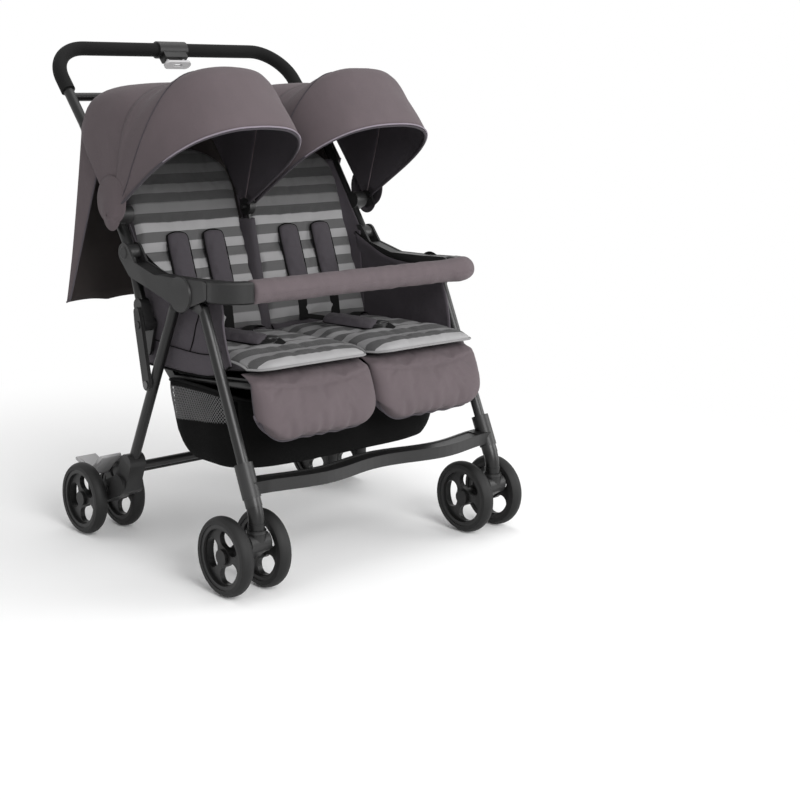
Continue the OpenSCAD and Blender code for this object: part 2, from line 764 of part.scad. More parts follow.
module handle_tube() {
  bar_at = handle_knee + upper_dir * cross_bar_at;
  color("#232325") difference() {
    union() {
      arch(handle_r, 0);
      for (side = [LEFT, RIGHT]) {
        rod(at_side(pivot_b, side), at_side(handle_knee, side), handle_r);
        rod(at_side(pivot_c, side), at_side(pivot_b, side), handle_r);
        translate(at_side(handle_knee, side)) sphere(handle_r + elbow_lip);
        on_side(side) {
          cross_rod(pivot_b, side_x - channel_half + run_gap, side_x + channel_half - run_gap, knuckle_r);
          side_plate(side_x - leg_r, side_x + leg_r)
            bar2d(pivot_c, end_block_r, pivot_c + arm_dir * end_block_len, end_block_r);
        }
      }
      cross_rod(bar_at, -side_x, side_x, cross_bar_r);
    }
    for (side = [LEFT, RIGHT]) on_side(side)
      cross_rod(pivot_b, side_x - channel_half, side_x + channel_half, hinge_pin_r + pin_gap);
  }
}

module handle_grip() {
  color("#1d1d1f") difference() {
    arch(grip_r, grip_start);
    arch(handle_r + seat_gap, 0);
    cross_rod(handle_top, -housing_half, housing_half, 2 * grip_r);
  }
}

trigger_stem_r = 4;
trigger_stem_share = 0.55;
trigger_stem_x = housing_half * trigger_stem_share;
trigger_t = 6;
trigger_rest = 2;
trigger_gap = trigger_travel + trigger_rest;
housing_foot = 12;
trigger_drop = housing_r + housing_foot;
stem_grip = 3;
stem_up = housing_foot + stem_grip;
block_share = 0.8;
lug_share = 0.6;
trigger_share = 0.92;
finger_share = 0.22;

// Local frame of the handle bar: X across, -Z square to the arch
module at_bar() {
  translate([0, handle_top[0], handle_top[1]]) rotate([handle_upper_a - 90, 0, 0]) children();
}

module trigger_housing() {
  color("#1f1f21") difference() {
    union() {
      cross_rod(handle_top, -housing_half, housing_half, housing_r);
      at_bar() translate([-housing_half * block_share, -housing_r * lug_share, -trigger_drop])
        cube([2 * housing_half * block_share, 2 * housing_r * lug_share, trigger_drop - handle_r]);
    }
    cross_rod(handle_top, -housing_half - overrun, housing_half + overrun, handle_r + seat_gap);
    for (s = [-1, 1]) at_bar() translate([s * trigger_stem_x, 0, -trigger_drop - overrun])
      cylinder(r = trigger_stem_r + pin_gap, h = overrun + stem_up + trigger_travel - handle_r / 3);
  }
}

// Squeeze trigger with a finger slot, guided by two stems
module fold_trigger() {
  plate_half = housing_half * trigger_share;
  plate_r = housing_r * lug_share;
  slot_r = housing_r * finger_share;
  color("#b5b7ba") at_bar() translate([0, 0, -trigger_drop - trigger_gap]) {
    difference() {
      translate([0, 0, -trigger_t]) linear_extrude(trigger_t)
        bar2d([plate_r - plate_half, 0], plate_r, [plate_half - plate_r, 0], plate_r);
      translate([0, 0, -trigger_t - overrun]) linear_extrude(trigger_t + 2 * overrun)
        bar2d([-trigger_stem_x / 3, 0], slot_r, [trigger_stem_x / 3, 0], slot_r);
    }
    for (s = [-1, 1]) translate([s * trigger_stem_x, 0, -trigger_t / 2])
      cylinder(r = trigger_stem_r, h = trigger_t / 2 + trigger_gap + stem_up - trigger_travel);
  }
}

link_tail = 26;
link_tip_share = 0.8;

module fold_links() {
  link_top = pivot_c + unit(pivot_c - pivot_d) * link_tail;
  color("#29292b") for (side = [LEFT, RIGHT]) on_side(side) difference() {
    union() {
      side_plate(link_in, link_out) {
        bar2d(pivot_d, link_r, pivot_c, link_r);
        bar2d(pivot_c, link_r, link_top, link_r * link_tip_share);
      }
      cross_rod(pivot_c, link_out, link_out + pin_head_t, link_pin_r * 2);
    }
    cross_rod(pivot_d, 0, 2 * side_x, link_pin_r + pin_gap);
  }
}

/* Seat hinge and seat frame */

seat_hinge = [hinge_behind, hinge_z];
hinge_plate_t = 6;
hinge_plate_share = 1.55;
hinge_plate_in = side_x - leg_r - hinge_plate_t;
sleeve_ring_t = 4;
ring_r = hinge_tube_r + sleeve_ring_t;
seat_dir = polar(1, 180 - seat_slope_a);
seat_up = polar(1, 90 - seat_slope_a);
bite_ahead = 8;
bite = [seat_hinge[0] - hinge_tube_r - bite_ahead, bite_z];
seat_front = bite + seat_dir * (seat_front_ahead + bite[0]) / cos(seat_slope_a);
seat_rear = bite + seat_dir * (seat_rear_ahead + bite[0]) / cos(seat_slope_a);
board_t = 4;
seat_tube_drop = seat_pad_t + board_t + seat_tube_r;
frame_front_share = 0.93;
frame_elbow = mix(bite, seat_front, frame_front_share) - seat_up * seat_tube_drop;
frame_front = frame_elbow - seat_up * seat_tube_r;
board_drop = seat_pad_t + seat_gap + board_t / 2;
frame_rear = seat_rear - seat_up * seat_tube_drop;
frame_inset = 4;
frame_side_x = seat_outer_x - seat_tube_r - frame_inset;

module seat_hinge_tube() {
  color("#2b2b2d") {
    cross_rod(seat_hinge, -hinge_plate_in - hinge_plate_t / 2, hinge_plate_in + hinge_plate_t / 2, hinge_tube_r);
    for (side = [LEFT, RIGHT]) on_side(side)
      side_plate(hinge_plate_in, hinge_plate_in + hinge_plate_t)
        bar2d(pivot_c, end_block_r, seat_hinge, hinge_tube_r * hinge_plate_share);
  }
}

seat_ring_w = 14;
lug_wall = 1.5;
lug_r = seat_tube_r + lug_wall;
board_share = 0.86;
seat_ring_x = frame_side_x - seat_ring_w / 2;

// Seat frame: side tubes, cross tubes and hinge rings
module seat_frame() {
  color("#2b2b2d") difference() {
    union() {
      for (x = [-frame_side_x, frame_side_x]) {
        rod([x, frame_rear[0], frame_rear[1]], [x, frame_elbow[0], frame_elbow[1]], seat_tube_r);
        side_plate(x - seat_ring_w / 2, x + seat_ring_w / 2) bar2d(frame_elbow, lug_r, frame_front, lug_r);
        side_plate(x - seat_ring_w / 2, x + seat_ring_w / 2) bar2d(seat_hinge, ring_r, frame_rear, lug_r);
      }
      for (p = [frame_rear, frame_front]) cross_rod(p, -frame_side_x, frame_side_x, seat_tube_r);
      side_plate(-frame_side_x, frame_side_x)
        bar2d(seat_rear - seat_up * board_drop, board_t / 2,
          mix(seat_rear, seat_front, board_share) - seat_up * board_drop, board_t / 2);
    }
    cross_rod(seat_hinge, -side_x, side_x, hinge_tube_r + pin_gap);
  }
}

module canopy_post() {
  top = canopy_axis;
  clip = pivot_b + lower_dir * canopy_along;
  color("#2b2b2d") difference() {
    union() {
      rod([0, seat_hinge[0], seat_hinge[1]], [0, top[0], top[1]], post_r);
      cross_rod(seat_hinge, -post_r - 2 * run_gap, post_r + 2 * run_gap, ring_r);
      cross_rod(top, -canopy_inner_x + run_gap, canopy_inner_x - run_gap, hub_disc_r);
      for (side = [LEFT, RIGHT]) on_side(side) {
        cross_rod(top, 0, canopy_inner_x + 2 * (canopy_t + stack_gap) + stack_gap, canopy_pin_r);
        cross_rod(top, side_x, hub_x1, canopy_pin_r);
        side_plate(side_x - handle_r - clip_wall, side_x + handle_r + clip_wall)
          bar2d(clip, handle_r + clip_wall, top, hub_disc_r);
      }
    }
    cross_rod(seat_hinge, -side_x, side_x, hinge_tube_r + seat_gap);
    for (side = [LEFT, RIGHT])
      rod(at_side(pivot_b, side), at_side(handle_knee, side), handle_r + seat_gap);
  }
}

/* Soft seats: cushions with a crown, drawn-in sides and sewn channels */

cushion_u_count = 10;
cushion_v_count = 14;
corner_share = 0.14;
channel_width_share = 0.06;
channel_depth_share = 0.32;

function crown(u, v) = pow(max(0, (1 - pow(abs(u), 4)) * (1 - pow(abs(v), 6))), 0.45);
function channel(v, rows) = len(rows) == 0 ? 1 :
  1 - channel_depth_share * max([for (r = rows) exp(-pow((v - r) / channel_width_share, 2))]);

// Cushion of half width, half length, height above and below its seam; rows are sewn channels across it
module cushion(half_w, half_l, up, down, rows, draw) {
  nu = cushion_u_count;
  nv = cushion_v_count;
  function uu(i) = 2 * i / nu - 1;
  function vv(j) = 2 * j / nv - 1;
  function px(u, v) = half_w * u * sqrt(1 - corner_share * v * v) * (1 - draw * (1 - v * v) * abs(u));
  function py(u, v) = half_l * v * sqrt(1 - corner_share * u * u);
  top = [for (j = [0 : nv], i = [0 : nu]) [px(uu(i), vv(j)), py(uu(i), vv(j)),
    up * crown(uu(i), vv(j)) * channel(vv(j), rows)]];
  low = [for (j = [1 : nv - 1], i = [1 : nu - 1]) [px(uu(i), vv(j)), py(uu(i), vv(j)), -down * crown(uu(i), vv(j))]];
  n_top = (nu + 1) * (nv + 1);
  function t(i, j) = j * (nu + 1) + i;
  function b(i, j) = (i == 0 || i == nu || j == 0 || j == nv) ? t(i, j) : n_top + (j - 1) * (nu - 1) + i - 1;
  function quad(a, b, c, d, slant) = slant ? [[a, b, c], [a, c, d]] : [[a, b, d], [b, c, d]];
  faces = [for (j = [0 : nv - 1], i = [0 : nu - 1])
    let (slant = (2 * i < nu) == (2 * j < nv))
      each concat(
        quad(t(i, j), t(i, j + 1), t(i + 1, j + 1), t(i + 1, j), slant),
        quad(b(i, j), b(i + 1, j), b(i + 1, j + 1), b(i, j + 1), slant))];
  polyhedron(points = concat(top, low), faces = faces, convexity = 4);
}

seat_mid_x = (seat_outer_x + seat_inner_x) / 2;
seat_half_w = (seat_outer_x - seat_inner_x) / 2;
seat_half_l = norm(seat_front - seat_rear) / 2;
seat_channel_shares = [-0.45, 0.05, 0.55];
back_channel_shares = [-0.55, -0.15, 0.25, 0.62];
leg_channel_shares = [0.5];
seat_seam_share = 0.45;
draw_share = 0.03;

// Cushion laid in the side view: from p along dir, with its crown towards up
module laid_cushion(side, p, dir, half_w, half_l, t, rows, flip) {
  a = atan2(dir[1], dir[0]);
  middle = p + dir * half_l;
  translate([side * seat_mid_x, middle[0], middle[1]]) rotate([a - 90, 0, 0]) rotate([90, 0, 0])
    mirror([0, 0, flip ? 1 : 0])
      cushion(half_w, half_l, t * (1 - seat_seam_share), t * seat_seam_share, rows, draw_share);
}

module seat_pad(side) {
  seam = seat_rear - seat_up * seat_pad_t * (1 - seat_seam_share);
  color("#6e6e70") laid_cushion(side, seam, seat_dir, seat_half_w, seat_half_l, seat_pad_t, seat_channel_shares, true);
}

back_dir = polar(1, 90 - back_lean_a);
back_front_dir = polar(1, 180 - back_lean_a);
back_foot = seat_hinge + back_dir * back_start;
back_set_share = 0.1;
back_seam = back_foot - back_front_dir * back_pad_t * back_set_share;
back_half_l = (back_len - back_start) / 2;
ring_inset = 20;
back_ring_x0 = seat_inner_x + ring_inset;
back_ring_x1 = seat_ring_x - seat_ring_w - frame_inset;
back_tongue_share = 0.16;

// Back pad with the cloth sleeve that turns on the hinge tube
module back_pad(side) {
  color("#6e6e70") difference() {
    union() {
      laid_cushion(side, back_seam, back_dir, seat_half_w, back_half_l, back_pad_t, back_channel_shares, false);
      on_side(side) side_plate(back_ring_x0, back_ring_x1) {
        translate(seat_hinge) circle(ring_r);
        bar2d(seat_hinge, ring_r / 2, back_seam + back_dir * back_half_l * back_tongue_share, ring_r / 3);
      }
    }
    on_side(side) cross_rod(seat_hinge, 0, side_x, hinge_tube_r + pin_gap);
  }
}

leg_dir = polar(1, -90 - leg_rest_lean_a);
leg_width_share = 1.03;
leg_top_share = 0.4;
leg_notch_share = 0.85;
leg_start = frame_front - leg_dir * leg_rest_t * leg_top_share;
leg_half_l = leg_rest_len / 2;

// Leg rest: padded flap sewn round the seat's front tube
module leg_rest(side) {
  color("#6b6465") difference() {
    laid_cushion(side, leg_start, leg_dir, seat_half_w * leg_width_share, leg_half_l, leg_rest_t, leg_channel_shares, true);
    on_side(side) cross_rod(frame_front, 0, side_x, seat_tube_r + pin_gap);
    on_side(side) cross_rod(frame_front, frame_side_x - seat_tube_r - run_gap, side_x, leg_rest_t * leg_notch_share);
  }
}

harness_spread_share = 0.28;
harness_low_share = 0.2;

// Two padded shoulder straps lying on the back pad
module harness(side) {
  foot = back_foot + back_dir * back_len * harness_low_share;
  lift = back_pad_t * (1 - seat_seam_share - back_set_share) + harness_t * seat_seam_share + run_gap;
  color("#4b4546") for (s = [-1, 1]) translate([s * seat_half_w * harness_spread_share, 0, 0])
    laid_cushion(side, foot + back_front_dir * lift, back_dir, harness_w / 2, harness_len / 2, harness_t, [], false);
}

/* Canopies: cloth turned about the hub axis */

canopy_axis = pivot_b + lower_dir * canopy_along + polar(canopy_off, handle_lower_a + 90);
canopy_centre = canopy_axis + polar(canopy_throw, canopy_front_a);
rear_centre = canopy_centre - [rear_panel_ahead, 0];
canopy_pin_r = 5;
stack_gap = 1;
clip_wall = 3.5;
hub_cap_wall = 4;
hub_x0 = canopy_outer_x + stack_gap;
hub_x1 = hub_x0 + hub_cap_wall;
canopy_point_count = 14;
canopy_boxy = 4.4;
eye_r = canopy_pin_r + pin_gap;
visor_overlap_a = 2;
eye_tip_share = 0.8;
eye_inset = 0.4;

function canopy_r(u, inset) = canopy_end_r - inset
  + (canopy_mid_r - canopy_end_r) * pow(max(0, 1 - pow(abs(u), canopy_boxy)), 1 / canopy_boxy);
function canopy_line(x0, x1, inset, eye) = concat([[eye, x0]],
  [for (i = [0 : canopy_point_count])
    let (u = -cos(180 * i / canopy_point_count)) [canopy_r(u, inset), mix(x0, x1, (u + 1) / 2)]],
  [[eye, x1]]);

// Cloth shell of one canopy between two angles
module canopy_shell(side, centre, step, less, a0, a1) {
  x0 = canopy_inner_x + step;
  x1 = canopy_outer_x - step;
  outer = canopy_line(x0, x1, less, hub_disc_r / 2);
  inner = canopy_line(x0 + canopy_t, x1 - canopy_t, less + canopy_t, hub_disc_r / 2);
  last = len(inner) - 1;
  on_side(side) translate([0, centre[0], centre[1]]) rotate([90, 0, 90]) rotate([0, 0, a0])
    rotate_extrude(angle = a1 - a0) polygon(concat(outer, [for (i = [last : -1 : 0]) inner[i]]));
}

// Side discs of a canopy layer with their eyes on the hub pins
module canopy_eyes(side, centre, step) {
  on_side(side) for (x = [canopy_inner_x + step, canopy_outer_x - step - canopy_t])
    side_plate(x + eye_inset, x + canopy_t - eye_inset) difference() {
      bar2d(canopy_axis, hub_disc_r, centre, hub_disc_r * eye_tip_share);
      translate(canopy_axis) circle(eye_r);
    }
}

// Rear panels, fixed to the handle frame
module canopy_rear() {
  step = canopy_t + stack_gap;
  color("#6b6465") for (side = [LEFT, RIGHT]) {
    canopy_shell(side, rear_centre, step, rear_panel_less, canopy_rear_a, canopy_seam_a + visor_overlap_a);
    canopy_eyes(side, rear_centre, step);
  }
}

// Visor, which turns over the rear panel
module visor(side) {
  color("#6b6465") {
    canopy_shell(side, canopy_centre, 0, 0, canopy_seam_a, canopy_front_a);
    canopy_eyes(side, canopy_centre, 0);
  }
}

// Hub caps that the visors turn on
module canopy_hubs() {
  color("#29292b") for (side = [LEFT, RIGHT]) on_side(side) difference() {
    cross_rod(canopy_axis, hub_x0, hub_x1, hub_disc_r);
    cross_rod(canopy_axis, 0, 2 * side_x, eye_r);
  }
}

cover_fold_count = 56;
cover_drop_count = 6;
cover_fold_depth = 8;
cover_wave_count = 7;
cover_t_cloth = 3;
cover_side_share = 0.2;
cover_turn_share = 0.06;
cover_hang_a = 1;
slit_share = 0.17;
slit_from_share = 0.66;
slit_to_share = 0.88;
slit_ramp_share = 0.04;

// Cloth that hangs from the rear panels' edge: it turns forwards at both sides, its main folds deepen downwards
// and its upper corners are cut down where the handle passes out
module rear_cover() {
  x_side = canopy_outer_x - canopy_t - stack_gap;
  mid_x = (canopy_outer_x + canopy_inner_x) / 2;
  half_x = (canopy_outer_x - canopy_inner_x) / 2;
  edge_a = canopy_rear_a - cover_hang_a;
  flat_share = 1 - cover_side_share;
  n = cover_fold_count;
  m = cover_drop_count;
  function clamp(c) = max(0, min(1, c));
  function across(s) = x_side * sign(s) * min(1, abs(s) / flat_share);
  function round_side(s) = clamp((abs(s) - flat_share) / cover_side_share);
  function edge_r(s) = canopy_r(clamp(abs(abs(across(s)) - mid_x) / half_x), rear_panel_less);
  function top_at(s) = rear_centre + polar(mix(edge_r(s), 4 * hub_disc_r, round_side(s)), edge_a);
  function hem_at(s) = mix([rear_cover_behind, rear_cover_z], [cover_front_behind, cover_front_z], round_side(s));
  function turn(s) = 90 * clamp(0.5 + (abs(s) - flat_share) / (2 * cover_turn_share));
  function out_dir(s) = [sign(s) * sin(turn(s)), cos(turn(s))];
  function fold(s, d) = cover_fold_depth * d * (cos(360 * cover_wave_count * s / 2) - 1) / 2;
  function slit(s) = slit_share * clamp((abs(s) - slit_from_share) / slit_ramp_share)
    * clamp((slit_to_share - abs(s)) / slit_ramp_share);
  function cloth(s, level, off) = let (d = mix(slit(s), 1, level), p = mix(top_at(s), hem_at(s), d),
    w = out_dir(s) * (fold(s, d) + off))
    [across(s) + w[0], p[0] + w[1], p[1]];
  front = [for (j = [0 : m], i = [0 : n]) cloth(2 * i / n - 1, j / m, -cover_t_cloth)];
  back = [for (j = [0 : m], i = [0 : n]) cloth(2 * i / n - 1, j / m, 0)];
  k = (n + 1) * (m + 1);
  function f(i, j) = j * (n + 1) + i;
  function g(i, j) = k + f(i, j);
  faces = concat(
    [for (j = [0 : m - 1], i = [0 : n - 1]) [f(i, j), f(i, j + 1), f(i + 1, j + 1), f(i + 1, j)]],
    [for (j = [0 : m - 1], i = [0 : n - 1]) [g(i, j), g(i + 1, j), g(i + 1, j + 1), g(i, j + 1)]],
    [for (i = [0 : n - 1]) [f(i, 0), f(i + 1, 0), g(i + 1, 0), g(i, 0)]],
    [for (i = [0 : n - 1]) [f(i, m), g(i, m), g(i + 1, m), f(i + 1, m)]],
    [for (j = [0 : m - 1]) [f(0, j), g(0, j), g(0, j + 1), f(0, j + 1)]],
    [for (j = [0 : m - 1]) [f(n, j), f(n, j + 1), g(n, j + 1), g(n, j)]]
  );
  tri = [for (q = faces, part = [[0, 2, 1], [0, 3, 2]]) [for (c = part) q[c]]];
  color("#6b6465") polyhedron(points = concat(front, back), faces = tri, convexity = 6);
}

/* Basket and side panels */

basket_ring_count = 28;
basket_level_count = 5;
basket_front = -basket_front_ahead;
basket_taper_share = 0.05;
basket_boxy = 4;
tab_share = 0.87;
tab_w = 16;
tab_h = 14;
tab_y = rear_foot[0] + rear_dir[0] / rear_dir[1] * (basket_top_z - tab_h / 2 - rear_foot[1]);

// Open cloth tub that narrows and sags towards its floor
module basket() {
  n = basket_ring_count;
  m = basket_level_count;
  half_d = (basket_rear_behind - basket_front) / 2;
  mid_y = (basket_rear_behind + basket_front) / 2;
  function swell(d) = 1 - basket_taper_share * pow(1 - d, 2);
  function boxed(c) = sign(c) * pow(abs(c), 2 / basket_boxy);
  function ring(d, inset, z) = [for (i = [0 : n - 1]) let (a = 360 * i / n)
    [(basket_half_w * swell(d) - inset) * boxed(cos(a)), mid_y + (half_d * swell(d) - inset) * boxed(sin(a)), z]];
  depth = basket_top_z - basket_bottom_z;
  outer = [for (j = [0 : m]) each ring(j / m, 0, basket_bottom_z + depth * j / m)];
  inner = [for (j = [0 : m]) each ring(j / m, basket_t, basket_bottom_z + basket_t + (depth - basket_t) * j / m)];
  k = n * (m + 1);
  function o(i, j) = j * n + i % n;
  function q(i, j) = k + o(i, j);
  walls = [for (j = [0 : m - 1], i = [0 : n - 1]) each [
    [o(i, j), o(i, j + 1), o(i + 1, j + 1)], [o(i, j), o(i + 1, j + 1), o(i + 1, j)],
    [q(i, j), q(i + 1, j + 1), q(i, j + 1)], [q(i, j), q(i + 1, j), q(i + 1, j + 1)]]];
  rim_faces = [for (i = [0 : n - 1]) each [
    [o(i, m), q(i, m), q(i + 1, m)], [o(i, m), q(i + 1, m), o(i + 1, m)]]];
  floors = [[for (i = [0 : n - 1]) o(i, 0)], [for (i = [n - 1 : -1 : 0]) q(i, 0)]];
  color("#1a1a1b") {
    polyhedron(points = concat(outer, inner), faces = concat(walls, rim_faces, floors), convexity = 6);
    for (side = [LEFT, RIGHT]) on_side(side)
      translate([basket_half_w * tab_share, tab_y - tab_w / 2, basket_top_z - tab_h])
        cube([side_x - leg_r - seat_gap - basket_half_w * tab_share, tab_w, tab_h]);
  }
}

panel_x = side_x - channel_half - cheek_t - pin_head_t - run_gap - 2 * panel_t;
panel_low_share = 0.82;
panel_top_share = 0.8;

// Cloth wings between the armrests and the seat
module side_panels() {
  low_front = mix(bite, seat_front, panel_low_share) - seat_up * seat_pad_t / 2;
  low_rear = bite - seat_up * seat_pad_t / 2 + seat_dir * hinge_tube_r * 4;
  color("#514b4c") for (side = [LEFT, RIGHT]) on_side(side) side_plate(panel_x, panel_x + panel_t)
    polygon([low_front, low_front + [head_r / 2, head_r], pivot_a + [-head_r * 2, -head_r],
      pivot_a + [head_r, 0], mix(pivot_a, pivot_b, panel_top_share) + [0, -head_r], low_rear + [head_r * 2, head_r * 3], low_rear]);
}

/* Draw */

tyre(LEFT, front_twin, true, front_axle);  // tyre_front_outer_left
rim(LEFT, front_twin, true, front_axle, front_carrier_half);  // rim_front_outer_left
tyre(LEFT, front_twin, false, front_axle);  // tyre_front_inner_left
rim(LEFT, front_twin, false, front_axle, front_carrier_half);  // rim_front_inner_left
tyre(RIGHT, front_twin, true, front_axle);  // tyre_front_outer_right
rim(RIGHT, front_twin, true, front_axle, front_carrier_half);  // rim_front_outer_right
tyre(RIGHT, front_twin, false, front_axle);  // tyre_front_inner_right
rim(RIGHT, front_twin, false, front_axle, front_carrier_half);  // rim_front_inner_right
tyre(LEFT, rear_twin, true, rear_axle);  // tyre_rear_outer_left
rim(LEFT, rear_twin, true, rear_axle, rear_carrier_half);  // rim_rear_outer_left
tyre(LEFT, rear_twin, false, rear_axle);  // tyre_rear_inner_left
rim(LEFT, rear_twin, false, rear_axle, rear_carrier_half);  // rim_rear_inner_left
tyre(RIGHT, rear_twin, true, rear_axle);  // tyre_rear_outer_right
rim(RIGHT, rear_twin, true, rear_axle, rear_carrier_half);  // rim_rear_outer_right
tyre(RIGHT, rear_twin, false, rear_axle);  // tyre_rear_inner_right
rim(RIGHT, rear_twin, false, rear_axle, rear_carrier_half);  // rim_rear_inner_right
caster_fork(LEFT);  // caster_fork_left
caster_fork(RIGHT);  // caster_fork_right
caster_axle(LEFT);  // caster_axle_left
caster_axle(RIGHT);  // caster_axle_right
rear_axles();
rear_housing(LEFT);  // rear_housing_left
rear_housing(RIGHT);  // rear_housing_right
rear_leg(LEFT);  // rear_leg_left
rear_leg(RIGHT);  // rear_leg_right
rear_cross_tube();
brake_rod();
brake_pedal();
frame_pins();
front_leg(LEFT);  // front_leg_left
front_leg(RIGHT);  // front_leg_right
foot_bar();
armrest(LEFT);  // armrest_left
armrest(RIGHT);  // armrest_right
handle_pins();
bumper_bar();
bumper_sleeve();
handle_tube();
handle_grip();
trigger_housing();
fold_trigger();
fold_links();
seat_hinge_tube();
canopy_post();
seat_frame();
seat_pad(LEFT);  // seat_pad_left
seat_pad(RIGHT);  // seat_pad_right
back_pad(LEFT);  // back_pad_left
back_pad(RIGHT);  // back_pad_right
leg_rest(LEFT);  // leg_rest_left
leg_rest(RIGHT);  // leg_rest_right
canopy_hubs();
canopy_rear();
visor(LEFT);  // visor_left
visor(RIGHT);  // visor_right
rear_cover();
basket();
side_panels();
harness(LEFT);  // harness_left
harness(RIGHT);  // harness_right
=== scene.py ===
import json
from math import copysign, cos, exp, pi, radians, sin, sqrt

import bpy
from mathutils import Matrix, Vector, noise


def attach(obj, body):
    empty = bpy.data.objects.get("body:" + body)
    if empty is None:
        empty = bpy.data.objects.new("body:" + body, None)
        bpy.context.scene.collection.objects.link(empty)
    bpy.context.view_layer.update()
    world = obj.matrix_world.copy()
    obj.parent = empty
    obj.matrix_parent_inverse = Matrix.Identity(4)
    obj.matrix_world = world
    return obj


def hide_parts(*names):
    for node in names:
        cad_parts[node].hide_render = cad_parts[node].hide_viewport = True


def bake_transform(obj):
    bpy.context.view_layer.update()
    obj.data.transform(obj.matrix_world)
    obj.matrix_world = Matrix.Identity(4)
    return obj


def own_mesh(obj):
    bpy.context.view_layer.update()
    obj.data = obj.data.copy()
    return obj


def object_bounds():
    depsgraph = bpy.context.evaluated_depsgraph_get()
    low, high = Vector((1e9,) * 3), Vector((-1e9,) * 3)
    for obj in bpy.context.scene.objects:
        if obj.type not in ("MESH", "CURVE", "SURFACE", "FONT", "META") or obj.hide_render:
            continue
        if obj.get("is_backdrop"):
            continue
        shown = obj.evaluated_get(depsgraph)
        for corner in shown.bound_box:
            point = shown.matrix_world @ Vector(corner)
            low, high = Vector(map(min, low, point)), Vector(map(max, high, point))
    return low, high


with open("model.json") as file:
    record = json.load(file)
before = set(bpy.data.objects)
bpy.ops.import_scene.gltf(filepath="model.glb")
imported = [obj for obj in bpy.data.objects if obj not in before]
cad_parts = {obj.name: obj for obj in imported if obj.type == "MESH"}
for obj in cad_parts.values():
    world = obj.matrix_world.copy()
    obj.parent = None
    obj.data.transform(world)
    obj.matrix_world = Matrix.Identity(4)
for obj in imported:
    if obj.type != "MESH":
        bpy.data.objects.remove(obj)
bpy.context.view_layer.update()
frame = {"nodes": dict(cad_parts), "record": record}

MM = 0.001
SIDES = {"left": 1, "right": -1}

# places and slopes of the frame that the cloth is fitted to

hinge = Vector((0, 24, 414)) * MM
canopy_hub = Vector((0, 84.3, 684.3)) * MM
leg_hinge = Vector((0, -305.2, 377.1)) * MM
tube_foot = Vector((0, 48, 609)) * MM
tube_dir = Vector((0, 170.5, 252.9)).normalized()
tube_x = 303 * MM
panel_foot = Vector((0, 24, 382)) * MM
panel_x = 293.5 * MM
back_lean = radians(20)
seat_slope = radians(5)
pad_slope = radians(1.8)
leg_lean = radians(12)

# stuffed pieces: quilt lines are shares of the length, fills are shares of the form

pad_pressure = 3.0
pad_cap = 6 * MM
sewn_hold = 0.9
quilt_deep = 0.2
round_from = 0.72

seat_mid = 148 * MM
seat_half = 143 * MM
seat_len = 340 * MM
seat_line = Vector((0, 7, 400)) * MM
pad_rear = Vector((0, 4.8, 421)) * MM
seat_top = 9 * MM
seat_low = 26 * MM
seat_wedge = 27 * MM
seat_roll = 10 * MM
seat_dip = 4 * MM
seat_corner_r = 46 * MM
seat_quilt = (0.28, 0.55, 0.8)
lip_r = 2.4 * MM

back_half = 142 * MM
back_from = 5 * MM
back_len = 418 * MM
back_crown = 19 * MM
back_deep = 14 * MM
back_round = 40 * MM
back_wings = 6 * MM
back_stripes = 0.95
back_quilt = (0.24, 0.44, 0.64, 0.82)

calf_half = 145 * MM
calf_len = 136 * MM
calf_up = 36 * MM
calf_crown = 30 * MM
calf_deep = 19 * MM
calf_fore = 6 * MM
calf_corner_r = 58 * MM
calf_tuck = 34 * MM
tuck_to = 0.19
calf_gather = 2.2 * MM
hem_gather = 1.3 * MM

bumper_y = -280 * MM
bumper_z = 560 * MM
bumper_half = 274.6 * MM
bumper_r = 23.6 * MM
bumper_bend = 42 * MM
sleeve_ripple = 1.8 * MM

# harness: lines are in millimetres, on the seat across, ahead and up, on the back up and inwards

harness_pressure = 2.0
harness_cap = 2 * MM
shoulder_half = 27 * MM
shoulder_len = 132 * MM
shoulder_spread = 46 * MM
shoulder_from = 100 * MM
shoulder_t = 8 * MM
shoulder_under = 3 * MM
shoulder_round = 6 * MM
shoulder_piping_r = 1.5 * MM
waist_under = 4 * MM
strap_w = 25 * MM
strap_t = 1.8 * MM
strap_rise = back_crown + 9 * MM
strap_line = ((shoulder_len / MM - 12, 0), (12, 0), (-30, 2), (-84, 12))
waist_from = (-70, 92, 44)
waist_to = (-20, 196, 27)
bare_line = ((122, 2, 32), (84, 30, 40), (40, 66, 40), (8, 104, 34))
crotch_line = ((0, 240, 8), (0, 226, 22), (0, 207, 29), (0, 190, 27))
buckle_at = (0, 186, 28)
buckle_half = (22 * MM, 17 * MM, 7 * MM)
tongue_half = (20 * MM, 13 * MM, 4 * MM)
slit_above = 5 * MM
slit_deep = 8 * MM
belt_tail = 34 * MM
belt_drop = 14 * MM
tongue_gap = 4 * MM

# sheets and seams

cloth_t = 2.4 * MM
piping_r = 2.2 * MM
stitch_half = 0.6 * MM
stitch_pitch = 3.5 * MM
post_wrap = 12 * MM
gusset_half = 20 * MM
seat_gusset_half = 17 * MM
roll_from = -70
roll_turn = 190
roll_r = 19 * MM
roll_ripple = 1 * MM
wing_lift = 3 * MM
wing_sag = 5 * MM
wing_ripple = 1.6 * MM
gusset_lift = 4 * MM
gusset_ripple = 0.8 * MM
seat_gusset_drop = 5 * MM
seat_gusset_fall = 6 * MM

# canopies: a bow is its angle about the hub in degrees, its radius in the middle and at the ends
# in millimetres, and its squareness

